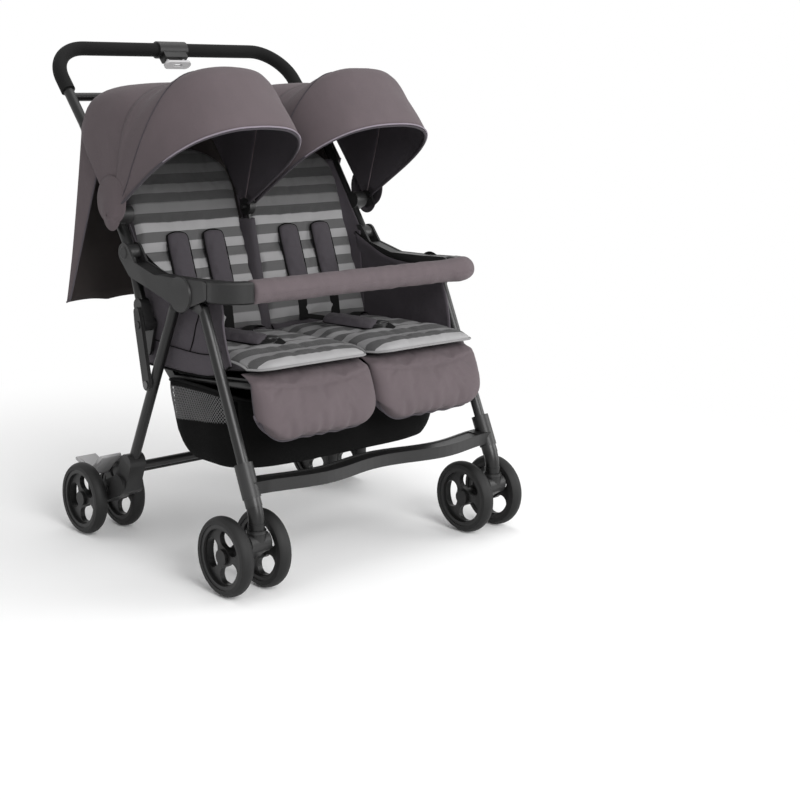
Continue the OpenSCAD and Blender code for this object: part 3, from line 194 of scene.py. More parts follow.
BOWS = ((52, 282, 142, 2.8), (68, 276, 148, 4.6), (88, 270, 140, 4.2), (108, 281, 130, 2.7),
        (120, 347, 128, 2.5), (132, 339, 128, 2.45), (147.3, 334, 122, 2.55))
rear_bow = 52
visor_from = 104
visor_to = 147.3
seam_mid = 115
seam_rise = 18
seam_end = 14.76
visor_sag = 5
panel_sag = 4
hood_steps = 18
canopy_x = (8 * MM, 346 * MM)
hub_reach = 20 * MM
pocket_r = 32 * MM
pocket_rise = 36 * MM
pocket_deep = 12 * MM
hood_ripple = 1.2 * MM
band_drop = 6 * MM
front_piping_r = 1.7 * MM
band_r = 3 * MM
seam_r = 1.1 * MM
seam_proud = 0.4 * MM
rear_lap = 2
rear_inset = 1.5 * MM
pocket_ripple = 0.8 * MM
pocket_gap = 0.3 * MM

cover_half = 342 * MM
cover_main = 0.82
cover_front = Vector((0, 74, 92)) * MM
hem_y = 282 * MM
hem_z = 482 * MM
cover_inset = 4 * MM
cover_flare = 12 * MM
scallop_high = 6 * MM
flap_fore = 14 * MM
flap_up = 6 * MM
fold_deep = 3.5 * MM
cover_swell = 3 * MM
cover_lean = 4 * MM
curtain_piping_r = 1.8 * MM

# side panels: edges in millimetres from front to back

panel_top = ((-216, 542), (-140, 556), (-40, 568), (62, 612))
panel_low = ((-246, 416), (-190, 388), (-100, 381), (42, 380))
panel_swell = 3 * MM
panel_ripple = 2.5 * MM
panel_seam_proud = 1.4 * MM
panel_seam_r = 1 * MM

# basket: the net runs between two shares of its height

basket_half = 300 * MM
basket_y = (-262 * MM, 18 * MM)
basket_z = (203 * MM, 345 * MM)
basket_high = basket_z[1] - basket_z[0]
basket_dip = 10 * MM
basket_ears = 20 * MM
basket_tuck = 26 * MM
ring_count = 96
net_from = 0.49
net_slant = 0.2
net_to = 0.92
net_rows = 14
net_count = 36
cord_half = 0.75 * MM
basket_ripple = 2.2 * MM
net_inset = 0.5 * MM
tub_sag = 4 * MM
tub_t = 2 * MM
liner_inset = 7 * MM
liner_t = 1 * MM
binding_r = 3 * MM
basket_levels = (0.0, 0.03, 0.07, 0.13, 0.2, 0.34, net_from, 0.58, 0.7, 0.82, net_to, 0.96, 1.0)

# stage

floor_r = 30.0
floor_steps = 24
floor_z = -0.0005
floor_fade = (0.55, 1.7)
world_light = 0.6


# shading

class Shader:
    """A node material with a Principled surface, built step by step."""

    def __init__(self, name, uv=True):
        self.mat = bpy.data.materials.new(name)
        self.mat.use_nodes = True
        self.tree = self.mat.node_tree
        self.surface = self.tree.nodes["Principled BSDF"]
        self.place = self.node("ShaderNodeTexCoord", {}).outputs["UV" if uv else "Object"]

    def feed(self, socket, value):
        if hasattr(value, "is_output"):
            self.tree.links.new(value, socket)
        else:
            socket.default_value = value

    def node(self, kind, inputs, **values):
        n = self.tree.nodes.new(kind)
        for key, value in values.items():
            setattr(n, key, value)
        for key, value in inputs.items():
            self.feed(n.inputs[key], value)
        return n

    def math(self, kind, a, b=0.0):
        return self.node("ShaderNodeMath", {0: a, 1: b}, operation=kind).outputs[0]

    def stretch(self, value, low, high):
        n = self.node("ShaderNodeMapRange", {"Value": value, "To Min": low, "To Max": high})
        return n.outputs["Result"]

    def noise(self, scale, detail=3.0, rough=0.55):
        n = self.node("ShaderNodeTexNoise", {"Vector": self.place, "Scale": scale, "Detail": detail,
                                             "Roughness": rough})
        return n.outputs["Fac"]

    def waves(self, pitch, axis):
        n = self.node("ShaderNodeTexWave", {"Vector": self.place, "Scale": pi / 10 / pitch,
                                            "Distortion": 0.6, "Detail": 1.0}, bands_direction=axis)
        return n.outputs["Fac"]

    def mix(self, fac, a, b, blend="MIX"):
        n = self.node("ShaderNodeMix", {"Factor": fac, "A": a, "B": b}, data_type="RGBA",
                      blend_type=blend)
        return n.outputs["Result"]

    def bump(self, height, depth, strength=1.0, under=None):
        inputs = {"Height": height, "Distance": depth, "Strength": strength}
        if under is not None:
            inputs["Normal"] = under
        return self.node("ShaderNodeBump", inputs).outputs["Normal"]

    def across(self, axis):
        return self.node("ShaderNodeSeparateXYZ", {0: self.place}).outputs[axis]

    def finish(self, colour, rough, normal, **more):
        self.feed(self.surface.inputs["Base Color"], colour)
        self.feed(self.surface.inputs["Roughness"], rough)
        self.feed(self.surface.inputs["Normal"], normal)
        for name, value in more.items():
            self.feed(self.surface.inputs[name.replace("_", " ")], value)
        return self.mat


def grey(level, tint=(1.0, 1.0, 1.0)):
    """Linear colour of an 8-bit display level with a tint."""
    parts = [min(255.0, level * t) / 255 for t in tint]
    linear = [c / 12.92 if c < 0.04045 else ((c + 0.055) / 1.055) ** 2.4 for c in parts]
    return (*linear, 1.0)


TAUPE = (1.04, 0.935, 0.97)
PLUM = (1.02, 0.96, 1.03)
COOL = (1.0, 0.995, 1.0)
BROWN = (1.08, 0.97, 0.95)


def cloth(name, dark, light, tint, pitch=1.3 * MM, bands=None, length=1.0, sheen=0.06, gloss=0.2,
          crease=1.6 * MM):
    """Woven cloth, plain between two levels or striped in bands along its length."""
    s = Shader(name)
    weave = s.math("MULTIPLY", s.waves(pitch, "X"), s.waves(pitch, "Y"))
    heather = s.noise(900.0, 2.0)
    broad = s.noise(14.0, 4.0)
    tone = s.math("ADD", s.math("MULTIPLY", heather, 0.55), s.math("MULTIPLY", broad, 0.45))
    if bands:
        run = s.math("DIVIDE", s.across("Y"), length)
        ramp = s.node("ShaderNodeValToRGB", {"Fac": run})
        ramp.color_ramp.interpolation = "CONSTANT"
        stops = ramp.color_ramp.elements
        while len(stops) < len(bands):
            stops.new(1.0)
        for i, level in enumerate(bands):
            stops[i].position = i / len(bands)
            stops[i].color = grey(level, tint)
        base = ramp.outputs["Color"]
        worn = s.mix(1.0, base, grey(150, tint), "MULTIPLY")
        colour = s.mix(s.stretch(tone, 0.0, 0.3), base, worn)
        colour = s.mix(s.stretch(weave, 0.0, 0.06), colour, grey(190, tint))
        share = s.math("FRACT", s.math("MULTIPLY", run, len(bands)))
        off = s.math("ABSOLUTE", s.math("SUBTRACT", share, 0.5))
        sewn = s.math("GREATER_THAN", off, 0.5 - stitch_half * len(bands) / length)
        step = s.math("FRACT", s.math("DIVIDE", s.across("X"), stitch_pitch))
        stitch = s.math("MULTIPLY", sewn, s.math("GREATER_THAN", step, 0.3))
        colour = s.mix(s.math("MULTIPLY", stitch, 0.5), colour, grey(34, tint))
    else:
        colour = s.mix(tone, grey(dark, tint), grey(light, tint))
    creases = s.bump(s.noise(38.0, 3.0), crease, 0.55)
    normal = s.bump(weave, 0.35 * MM, 0.5, creases)
    return s.finish(colour, s.stretch(heather, 0.72, 0.95), normal, Sheen_Weight=sheen,
                    Sheen_Roughness=0.45, Specular_IOR_Level=gloss)


def hard(name, dark, light, rough, grain, depth, worn=None, metal=0.0, shine=0.35):
    """Painted, moulded or bare surface; worn is the level of its rubbed edges."""
    s = Shader(name, False)
    speck = s.noise(grain, 4.0, 0.6)
    broad = s.noise(9.0, 3.0)
    tone = s.math("ADD", s.math("MULTIPLY", speck, 0.5), s.math("MULTIPLY", broad, 0.5))
    colour = s.mix(tone, grey(dark, COOL), grey(light, COOL))
    if worn:
        edge = s.node("ShaderNodeNewGeometry", {}).outputs["Pointiness"]
        rub = s.node("ShaderNodeMapRange", {"Value": edge, "From Min": 0.53, "From Max": 0.62,
                                            "To Max": 0.55})
        colour = s.mix(rub.outputs["Result"], colour, grey(worn, COOL))
    return s.finish(colour, s.stretch(broad, rough - 0.07, rough + 0.07), s.bump(speck, depth, 0.6),
                    Metallic=metal, Specular_IOR_Level=shine)


# stripe levels of the back from its foot to its top; the upper eight bands are darker and flatter:
# painted shadow of the canopy
BACK_BANDS_PAINTED_SHADOW = [90, 134, 86, 140, 84, 140, 82, 142, 82, 142, 80, 142, 60, 98, 56, 88, 54, 78, 52, 66]
SEAT_BANDS = [80, 122, 74, 126, 72, 128, 72, 128, 72, 128, 72, 130, 74, 158]

taupe = cloth("taupe_cloth", 70, 96, TAUPE)
taupe_dark = cloth("taupe_dark_cloth", 64, 84, PLUM)
trim = cloth("trim_cloth", 112, 136, PLUM, 0.9 * MM)
lining = cloth("lining_cloth", 56, 74, PLUM, gloss=0.1)
lip_cloth = cloth("lip_cloth", 116, 140, COOL, 0.9 * MM)
brown_lining = cloth("brown_lining_cloth", 38, 50, BROWN)
black_cloth = cloth("black_cloth", 8, 15, COOL, sheen=0.0, gloss=0.08)
dark_side = cloth("gusset_cloth", 46, 62, PLUM)
# the back's stripes carry a painted shadow of the canopy, darker towards the top
back_cloth_painted_shadow = cloth("back_stripes", 0, 0, COOL, 1.4 * MM, BACK_BANDS_PAINTED_SHADOW, back_len)
seat_cloth = cloth("seat_stripes", 0, 0, COOL, 1.4 * MM, SEAT_BANDS, seat_len, crease=0.6 * MM)
webbing = cloth("black_webbing", 10, 24, COOL, 2.6 * MM, sheen=0.0, gloss=0.1)
pad_cloth = cloth("shoulder_cloth", 52, 68, PLUM)
net_cloth = cloth("net_cord", 96, 130, COOL, 0.8 * MM)

paint = hard("charcoal_paint", 12, 22, 0.34, 900.0, 0.05 * MM, 52)
plastic = hard("black_plastic", 15, 25, 0.42, 1500.0, 0.08 * MM, 48)
gloss_plastic = hard("buckle_plastic", 20, 32, 0.3, 1500.0, 0.04 * MM, 60)
rubber = hard("tyre_rubber", 10, 18, 0.62, 700.0, 0.2 * MM, 36)
steel = hard("steel", 58, 84, 0.3, 600.0, 0.03 * MM, 120, 0.9)
foam = hard("grip_foam", 8, 16, 0.8, 800.0, 0.4 * MM, shine=0.2)
light_plastic = hard("grey_plastic", 158, 184, 0.42, 1500.0, 0.06 * MM, 190)

FINISH = {"frame_tube": paint, "black_plastic": plastic, "tyre_rubber": rubber, "steel": steel,
          "grip_foam": foam, "grey_plastic": light_plastic, "taupe_fabric": taupe,
          "stripe_fabric": back_cloth_painted_shadow, "dark_fabric": taupe_dark, "black_fabric": black_cloth}

slot_of = {part["node"]: part["material_slot"] for part in frame["record"]["subparts"]}
for node_name, node in frame["nodes"].items():
    node.data.materials.clear()
    node.data.materials.append(FINISH[slot_of[node_name]])


# mesh tools

def new_object(name, data):
    obj = bpy.data.objects.new(name, data)
    bpy.context.scene.collection.objects.link(obj)
    return obj


def span(i, last):
    """Place of a step from -1 to 1."""
    return 2 * i / last - 1


def power(value, exponent):
    """Signed power, which squares off a circle's cosine and sine."""
    return copysign(abs(value) ** exponent, value)


def make(name, verts, faces, uvs, mats, picks=None):
    """A smooth-shaded mesh object; uvs has one pair a vertex, picks a material number a face."""
    mesh = bpy.data.meshes.new(name)
    mesh.from_pydata([tuple(v) for v in verts], [], faces)
    layer = mesh.uv_layers.new(name="cloth")
    for loop in mesh.loops:
        layer.data[loop.index].uv = uvs[loop.vertex_index]
    for mat in mats:
        mesh.materials.append(mat)
    for i, face in enumerate(mesh.polygons):
        face.use_smooth = True
        if picks:
            face.material_index = picks[i]
    mesh.update()
    return new_object(name, mesh)


def sheet_grid(name, rows, mats, wrap=False, keep=None, caps=False):
    """Surface through rows of points, with UVs in metres; caps closes the first and last row."""
    n = len(rows[0])
    verts, uvs = [], []
    run = 0.0
    for j, row in enumerate(rows):
        if j:
            run += sum((a - b).length for a, b in zip(row, rows[j - 1])) / n
        side = 0.0
        for i, p in enumerate(row):
            if i:
                side += (p - row[i - 1]).length
            verts.append(p)
            uvs.append((side, run))
    faces = []
    for j in range(len(rows) - 1):
        for i in range(n if wrap else n - 1):
            k = (i + 1) % n
            if keep and not keep(i, j):
                continue
            faces.append((j * n + i, j * n + k, (j + 1) * n + k, (j + 1) * n + i))
    if caps:
        faces += [tuple(range(n))[::-1], tuple(range(len(verts) - n, len(verts)))]
    return make(name, verts, faces, uvs, mats)


def thicken(obj, depth, offset=-1.0):
    """Gives a sheet its thickness, with its second material inside."""
    m = obj.modifiers.new("cloth thickness", "SOLIDIFY")
    m.thickness = depth
    m.offset = offset
    m.material_offset = 1
    m.material_offset_rim = 0


def smoother(obj):
    m = obj.modifiers.new("smooth", "SUBSURF")
    m.levels = 1
    m.render_levels = 1
    return obj


def tube(name, path, radius, mat, sides=10, closed=False, wobble=0.0):
    """Round cord along a path; radius is a number or a function of the share along it."""
    n = len(path)
    rows = []
    up = Vector((0.01, 0.02, 1.0))
    for i, p in enumerate(path):
        a = path[(i - 1) % n] if closed or i else p
        b = path[(i + 1) % n] if closed or i < n - 1 else p
        d = (b - a).normalized()
        if abs(d.dot(up.normalized())) > 0.97:
            up = Vector((0.3, 1.0, 0.02))
        x = d.cross(up).normalized()
        y = x.cross(d)
        up = y
        r = radius(i / (n - 1)) if callable(radius) else radius
        ring = []
        for k in range(sides):
            t = 2 * pi * k / sides
            q = p + (x * cos(t) + y * sin(t)) * r
            if wobble:
                q += (q - p).normalized() * wobble * noise.noise(q * 55)
            ring.append(q)
        rows.append(ring)
    if closed:
        rows.append(rows[0])
    return sheet_grid(name, rows, [mat], wrap=True, caps=not closed)


def strap(name, path, across, width, mat):
    """Flat webbing along a path; across is its width direction."""
    rows = []
    n = len(path)
    for i, p in enumerate(path):
        d = (path[min(i + 1, n - 1)] - path[max(i - 1, 0)]).normalized()
        up = across.normalized().cross(d).normalized()
        w = d.cross(up).normalized()
        ring = []
        for k in range(12):
            t = 2 * pi * k / 12
            cx, cy = power(cos(t), 0.35), power(sin(t), 0.7)
            ring.append(p + w * cx * width / 2 + up * cy * strap_t / 2)
        rows.append(ring)
    return sheet_grid(name, rows, [mat], wrap=True)


def block(name, at, along, across, up, half_l, half_w, half_t):
    """Small moulded piece with rounded corners and a crowned top."""
    rows = []
    for j in range(13):
        v = -cos(pi * j / 12)
        narrow = max(0.02, 1 - abs(v) ** 7) ** 0.4
        ring = []
        for k in range(20):
            t = 2 * pi * k / 20
            cx, cy = power(cos(t), 0.5), power(sin(t), 0.6)
            ring.append(at + along * v * half_l + across * cx * half_w * narrow
                        + up * cy * half_t * narrow)
        rows.append(ring)
    return sheet_grid(name, rows, [gloss_plastic], wrap=True)


def curve(points, steps=10):
    """Smooth path through a few points."""
    out = []
    n = len(points)
    for i in range(n - 1):
        p0, p1 = points[max(i - 1, 0)], points[i]
        p2, p3 = points[i + 1], points[min(i + 2, n - 1)]
        for k in range(steps):
            t = k / steps
            out.append(((p1 * 2) + (p2 - p0) * t + (p0 * 2 - p1 * 5 + p2 * 4 - p3) * t * t
                        + (p1 * 3 - p0 - p2 * 3 + p3) * t ** 3) * 0.5)
    out.append(points[-1])
    return out


CLOTH = {"quality": 6, "mass": 0.25, "tension_stiffness": 18, "compression_stiffness": 18,
         "shear_stiffness": 8, "bending_stiffness": 0.4, "air_damping": 4, "use_pressure": True,
         "shrink_min": -0.02}
puff_frames = 20


def puff(obj, pins, pressure, cap):
    """Blows a closed cloth form up from its sewn lines and keeps the result, moved by cap at most."""
    rest = [v.co.copy() for v in obj.data.vertices]
    group = obj.vertex_groups.new(name="sewn")
    for i, w in enumerate(pins):
        if w > 0:
            group.add([i], w, "REPLACE")
    m = obj.modifiers.new("puff", "CLOTH")
    for key, value in CLOTH.items():
        setattr(m.settings, key, value)
    m.settings.uniform_pressure_force = pressure
    m.settings.vertex_group_mass = group.name
    m.settings.effector_weights.gravity = 0
    m.collision_settings.use_collision = False
    m.point_cache.frame_start = 1
    m.point_cache.frame_end = puff_frames
    for f in range(1, puff_frames + 1):
        bpy.context.scene.frame_set(f)
    moved = obj.evaluated_get(bpy.context.evaluated_depsgraph_get()).data
    shift = [v.co - r for v, r in zip(moved.vertices, rest)]
    obj.modifiers.remove(m)
    bpy.context.scene.frame_set(1)
    for v, r, d in zip(obj.data.vertices, rest, shift):
        v.co = r + (d * (cap / d.length) if d.length > cap else d)
    obj.data.update()
    return obj


def pad(name, nu, nv, place, top, low, mats, pick, sewn, pressure, cap, rim=None):
    """Closed stuffed form over u in -1..1 and v in 0..1, blown up between its sewn lines."""
    verts, uvs, pins = [], [], []
    index = {}
    for layer, height in ((1, top), (0, low)):
        for j in range(nv + 1):
            for i in range(nu + 1):
                edge = i in (0, nu) or j in (0, nv)
                if layer == 0 and edge:
                    index[0, i, j] = index[1, i, j]
                    continue
                u, v = span(i, nu), j / nv
                x, y = place(u, v)
                z = (rim(u, v) if rim else 0.0) if edge else height(u, v)
                index[layer, i, j] = len(verts)
                verts.append(Vector((x, y, z)))
                uvs.append((x, y))
                pins.append(1.0 if edge else (sewn(u, v) if layer else 0.6))
    faces, picks = [], []
    for j in range(nv):
        for i in range(nu):
            ring = ((i, j), (i + 1, j), (i + 1, j + 1), (i, j + 1))
            u, v = span(i + 0.5, nu), (j + 0.5) / nv
            faces.append(tuple(index[(1,) + c] for c in ring))
            picks.append(pick(u, v, True))
            faces.append(tuple(index[(0,) + c] for c in reversed(ring)))
            picks.append(pick(u, v, False))
    obj = make(name, verts, faces, uvs, mats, picks)
    return puff(obj, pins, pressure, cap)


def laid(obj, name, origin, right, along, up):
    """A copy of a form with its own axes laid onto the object."""
    mesh = obj.data.copy()
    for v in mesh.vertices:
        v.co = origin + right * v.co.x + along * v.co.y + up * v.co.z
    return new_object(name, mesh)


def bell(t, width):
    return exp(-(t / width) ** 2)


def soft_edge(t, power):
    return max(0.0, 1 - abs(t) ** power) ** 0.5


X = Vector((1, 0, 0))


def tilted(angle):
    """Forward direction raised by an angle, and the upward one square to it."""
    ahead = Vector((0, -cos(angle), sin(angle)))
    return ahead, Vector((0, sin(angle), cos(angle)))


seat_dir, seat_up = tilted(seat_slope)
pad_dir, pad_up = tilted(pad_slope)
back_out, back_dir = tilted(back_lean)
leg_out, leg_dir = tilted(leg_lean)
leg_dir = -leg_dir


# seats

def wear(obj, body):
    """Fixes a piece to a body."""
    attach(obj, body)
    return obj


def cushion(form, name, axes, body, node=None):
    """A stuffed piece laid in its place, shown for a node where one is given."""
    obj = wear(smoother(laid(form, name, *axes)), body)
    if node:
        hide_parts(node)
    return obj


def press(obj):
    """Soft piece on the seat, given its own copy of its mesh."""
    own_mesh(obj)


def corner(u, half, r):
    """How far a round corner falls short of the straight edge at one place across."""
    q = max(0.0, (abs(u) * half - half + r) / r)
    return r - sqrt(max(0.0, r * r - (q * r) ** 2))


def past(v, start):
    """0 up to a start, then rising to 1 at the end."""
    return max(0.0, (v - start) / (1 - start))


def quilt(v, lines, width):
    """Nearness to the closest of a pad's sewn lines."""
    return max(bell(v - line, width) for line in lines)


def by_face(u, v, top):
    return 0 if top else 1


def seat_place(u, v):
    x = seat_half * u * (1 - 0.02 * v ** 5 * u * u)
    return x, seat_len * v - corner(u, seat_half, seat_corner_r) * v ** 5


def seat_edge(u, v):
    """Height of the seat's seam, which rolls down at the front."""
    return -(seat_roll * past(v, round_from) ** 2 + seat_dip * abs(u) ** 6 * v)


def seat_rise(u, v):
    roll = 1 - quilt_deep * quilt(v, seat_quilt, 0.025)
    return seat_top * soft_edge(u, 6) * soft_edge(2 * v - 1, 9) * roll + seat_edge(u, v)


def seat_sink(u, v):
    depth = seat_low * (1 - 0.7 * v ** 5) + seat_wedge * (1 - v)
    return -depth * soft_edge(u, 5) * soft_edge(2 * v - 1, 6) + seat_edge(u, v)


seat_form = pad("seat_form", 44, 44, seat_place, seat_rise, seat_sink, [seat_cloth, dark_side], by_face,
                lambda u, v: sewn_hold * quilt(v, seat_quilt, 0.012), pad_pressure, pad_cap, seat_edge)


def back_place(u, v):
    top = past(v, round_from)
    x = back_half * u * (1 - 0.22 * top ** 2.4)
    return x, back_len * v - back_round * top ** 2 * abs(u) ** 3


def back_rise(u, v):
    crown = back_crown * (1 - quilt_deep * quilt(v, back_quilt, 0.018))
    wings = back_wings * abs(u) ** 3 * soft_edge(u, 12)
    return crown * soft_edge(u, 8) * soft_edge(2 * v - 1, 10) + wings


def back_sink(u, v):
    return -back_deep * soft_edge(u, 5) * soft_edge(2 * v - 1, 6)


back_form = pad("back_form", 44, 56, back_place, back_rise, back_sink, [back_cloth_painted_shadow, dark_side],
                lambda u, v, top: 0 if top and abs(u) < back_stripes else 1,
                lambda u, v: sewn_hold * quilt(v, back_quilt, 0.01), pad_pressure, pad_cap)


def calf_place(u, v):
    foot = past(v, 0.35)
    wide = 1 + 0.02 * sin(pi * v) - 0.06 * foot ** 4 * u * u
    y = calf_len * v - corner(u, calf_half, calf_corner_r) * foot ** 3
    gather = hem_gather * past(v, 0.85) * sin(u * 19 + 2 * sin(5 * u))
    return calf_half * u * wide, y + gather


def calf_edge(u, v):
    """Height of the calf rest's seam, tucked in under the seat."""
    return -calf_tuck * max(0.0, 1 - v / tuck_to) ** 1.6


def gathers(u, v):
    ripple = sin(u * 21 + 1.5 * sin(4 * u)) + 0.6 * sin(u * 37 + 1)
    return past(v, 0.66) ** 1.5 * ripple


def calf_seam(u, v):
    return bell(v - (0.3 - 0.12 * u * u), 0.022)


def calf_rise(u, v):
    swell = 0.5 + 0.5 * sin(pi / 2 * min(1.0, v / 0.65)) ** 1.5
    full = soft_edge(u, 9) * soft_edge(2 * v - 1, 7) * swell
    folds = calf_gather * gathers(u, v) * soft_edge(u, 4) * (1 - v ** 12)
    return calf_crown * full * (1 - 0.16 * calf_seam(u, v)) + folds + calf_edge(u, v)


def calf_sink(u, v):
    return -calf_deep * soft_edge(u, 5) * soft_edge(2 * v - 1, 5) + calf_edge(u, v)


calf_form = pad("calf_form", 52, 36, calf_place, calf_rise, calf_sink, [taupe, taupe_dark], by_face,
                lambda u, v: sewn_hold * calf_seam(u, v), pad_pressure, pad_cap, calf_edge)


def shoulder_place(u, v):
    end = abs(2 * v - 1) ** 6
    bow_out = shoulder_round * end * u * u * (1 if v > 0.5 else -1)
    return shoulder_half * u * (1 - 0.14 * end), shoulder_len * v - bow_out


def waist_place(u, v):
    x, y = shoulder_place(u, v)
    return x * 0.95, y * 0.92


def harness_pad(name, nu, place, thick, under):
    """Narrow stuffed pad without quilting."""
    def full(u, v):
        return soft_edge(u, 3) * soft_edge(2 * v - 1, 8)

    return pad(name, nu, 30, place, lambda u, v: thick * full(u, v), lambda u, v: -under * full(u, v),
               [pad_cloth, black_cloth], by_face, lambda u, v: 0.0, harness_pressure, harness_cap)


shoulder_form = harness_pad("shoulder_form", 12, shoulder_place, shoulder_t, shoulder_under)
waist_form = harness_pad("waist_form", 14, waist_place, 1.3 * shoulder_t, waist_under)


def edge_path(place, height, axes, front):
    """Path round a pad's whole seam, or round its front part."""
    if front:
        uv = [(-1, 0.62 + 0.38 * k / 10) for k in range(10)] + [(span(k, 40), 1) for k in range(41)]
        uv += [(1, 1 - 0.38 * k / 10) for k in range(1, 11)]
    else:
        uv = [(span(k, 12), 0) for k in range(12)] + [(1, k / 30) for k in range(30)]
        uv += [(-span(k, 12), 1) for k in range(12)] + [(-1, 1 - k / 30) for k in range(30)]
    origin, right, along, up = axes
    out = []
    for u, v in uv:
        x, y = place(u, v)
        out.append(origin + right * x + along * y + up * height(u, v))
    return out


def level_edge(u, v):
    return 0.0


def on_seat(middle, spot):
    """Point over one seat from millimetres across, ahead and up."""
    x, ahead, lift = (q * MM for q in spot)
    return middle + X * x + seat_line + seat_dir * ahead + seat_up * lift


def shoulder_set(word, middle, place, across):
    """One shoulder pad with its piping and strap."""
    body = "back_" + word
    foot = (middle + X * across * shoulder_spread + hinge + back_dir * shoulder_from
            + back_out * strap_rise)
    axes = (foot, X, back_dir, back_out)
    cushion(shoulder_form, f"shoulder_pad_{place}_{word}", axes, body,
            "harness_" + word if place == "outer" else None)
    seam = edge_path(shoulder_place, level_edge, axes, False)
    wear(tube(f"shoulder_piping_{place}_{word}", seam, shoulder_piping_r, black_cloth, 8, True), body)
    slit = (foot + back_dir * (shoulder_len + slit_above)
            - back_out * (strap_rise - back_crown + slit_deep))
    path = [slit, slit + back_out * 9 * MM - back_dir * 6 * MM]
    path += [foot + back_dir * up * MM - back_out * sunk * MM for up, sunk in strap_line]
    wear(strap(f"shoulder_strap_{place}_{word}", curve(path), X, strap_w, webbing), body)


def waist_set(word, middle):
    """One padded and one bare belt with their tongues, the crotch strap and its buckle."""
    start, end = on_seat(middle, waist_from), on_seat(middle, waist_to)
    run = (end - start).normalized()
    flat = run.cross(seat_up * 0.85 + seat_dir * 0.5).normalized()
    axes = (start, flat, run, flat.cross(run).normalized())
    press(cushion(waist_form, "waist_pad_" + word, axes, "seat"))
    padded = [start - run * belt_tail - seat_dir * belt_drop, start.lerp(end, 0.02),
              start.lerp(end, 0.5) - seat_up * 1 * MM, end + run * tongue_gap]
    bare = [on_seat(middle, spot) for spot in bare_line]
    for kind, points, wide in (("pad", padded, flat), ("bare", bare, seat_dir + X * 0.6)):
        web = strap(f"waist_strap_{kind}_{word}", curve(points), wide, strap_w, webbing)
        press(wear(web, "seat"))
        run = (points[-1] - points[-2]).normalized()
        over = wide.cross(run).normalized()
        over = over if over.z > 0 else -over
        tongue = block(f"tongue_{kind}_{word}", points[-1] + run * tongue_gap, run, over.cross(run), over,
                       *tongue_half)
        wear(tongue, "seat")
    crotch = curve([on_seat(middle, spot) for spot in crotch_line])
    press(wear(strap("crotch_strap_" + word, crotch, X, strap_w, webbing), "seat"))
    buckle = block("buckle_" + word, on_seat(middle, buckle_at), seat_dir, X, seat_up, *buckle_half)
    wear(buckle, "seat")


for word, side in SIDES.items():
    middle = X * side * seat_mid
    axes = (middle + pad_rear, X, pad_dir, pad_up)
    press(cushion(seat_form, "seat_cushion_" + word, axes, "seat",
                  "seat_pad_" + word))
    lip = tube("seat_lip_" + word, edge_path(seat_place, seat_edge, axes, True), lip_r, lip_cloth)
    press(wear(lip, "seat"))

    axes = (middle + hinge + back_dir * back_from, X, back_dir, back_out)
    cushion(back_form, "back_cushion_" + word, axes, "back_" + word,
            "back_pad_" + word)
    seam = edge_path(back_place, level_edge, axes, False)
    wear(tube("back_edge_" + word, seam, piping_r, taupe_dark, 8, True), "back_" + word)

    axes = (middle + leg_hinge - leg_dir * calf_up + leg_out * calf_fore, X, leg_dir, leg_out)
    cushion(calf_form, "calf_rest_" + word, axes, "leg_rest_" + word,
            "leg_rest_" + word)
    seam = edge_path(calf_place, level_edge, axes, True)
    wear(tube("calf_hem_" + word, seam, piping_r, taupe_dark, 8), "leg_rest_" + word)

    shoulder_set(word, middle, "outer", side)
    shoulder_set(word, middle, "inner", -side)
    waist_set(word, middle)

    # cloth that closes the corner between seat and back, rolled round the hinge tube
    rows = []
    for j in range(25):
        turn = radians(roll_from + roll_turn * j / 24)
        ray = Vector((0, -cos(turn), sin(turn)))
        rows.append([middle + hinge + X * back_half * (0.96 * span(i, 16))
                     + ray * (roll_r + roll_ripple * noise.noise(Vector((i * 0.9, j * 0.4, side))))
                     for i in range(17)])
    bite = sheet_grid("seat_corner_" + word, rows, [dark_side, dark_side])
    thicken(bite, cloth_t, offset=0.0)
    wear(bite, "handle_frame")

    # side cloth from the back pad's outer edge to the handle tube
    rows = []
    for j in range(29):
        x, y = back_place(0.97, 0.03 + 0.95 * j / 28)
        inner = middle + X * side * x + hinge + back_dir * (back_from + y) + back_out * wing_lift
        if inner.z > tube_foot.z:
            outer = tube_foot + tube_dir * ((inner.z - tube_foot.z) / tube_dir.z)
        else:
            outer = panel_foot.lerp(tube_foot, (inner.z - panel_foot.z) / (tube_foot.z - panel_foot.z))
        outer = Vector((side * (tube_x if inner.z > tube_foot.z else panel_x), outer.y, outer.z))
        row = []
        for i in range(13):
            t = i / 12
            arch = sin(pi * t)
            p = inner.lerp(outer, t) - back_out * wing_sag * arch
            row.append(p + back_out * wing_ripple * arch * noise.noise(p * 40))
        rows.append(row if side < 0 else row[::-1])
    wing = sheet_grid("back_wing_" + word, rows, [dark_side, lining])
    thicken(wing, cloth_t, offset=0.0)
    start, end = rows[14][0], rows[14][-1]
    start, end = (end, start) if abs(end.x) > abs(start.x) else (start, end)
    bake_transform(wing)
for form in (seat_form, back_form, calf_form, shoulder_form, waist_form):
    bpy.data.objects.remove(form)

# strip between the backs, over the canopy post
post_run = canopy_hub - hinge
post_dir = post_run.normalized()
post_out = Vector((0, -post_dir.z, post_dir.y))
rows = []
for j in range(33):
    post = hinge + post_dir * post_run.length * (0.02 + 0.88 * j / 32)
    fore = post + post_out * post_wrap
    flat = hinge + back_dir * ((post.z - hinge.z) / back_dir.z) + back_out * gusset_lift
    rows.append([flat.lerp(fore, 1 - abs(span(i, 12)) ** 2.5) + X * span(i, 12) * gusset_half
                 + back_out * gusset_ripple * noise.noise(Vector((i, j * 0.3, 0))) for i in range(13)])
middle_strip = sheet_grid("middle_gusset", rows, [dark_side, lining])
thicken(middle_strip, cloth_t)
wear(middle_strip, "handle_frame")

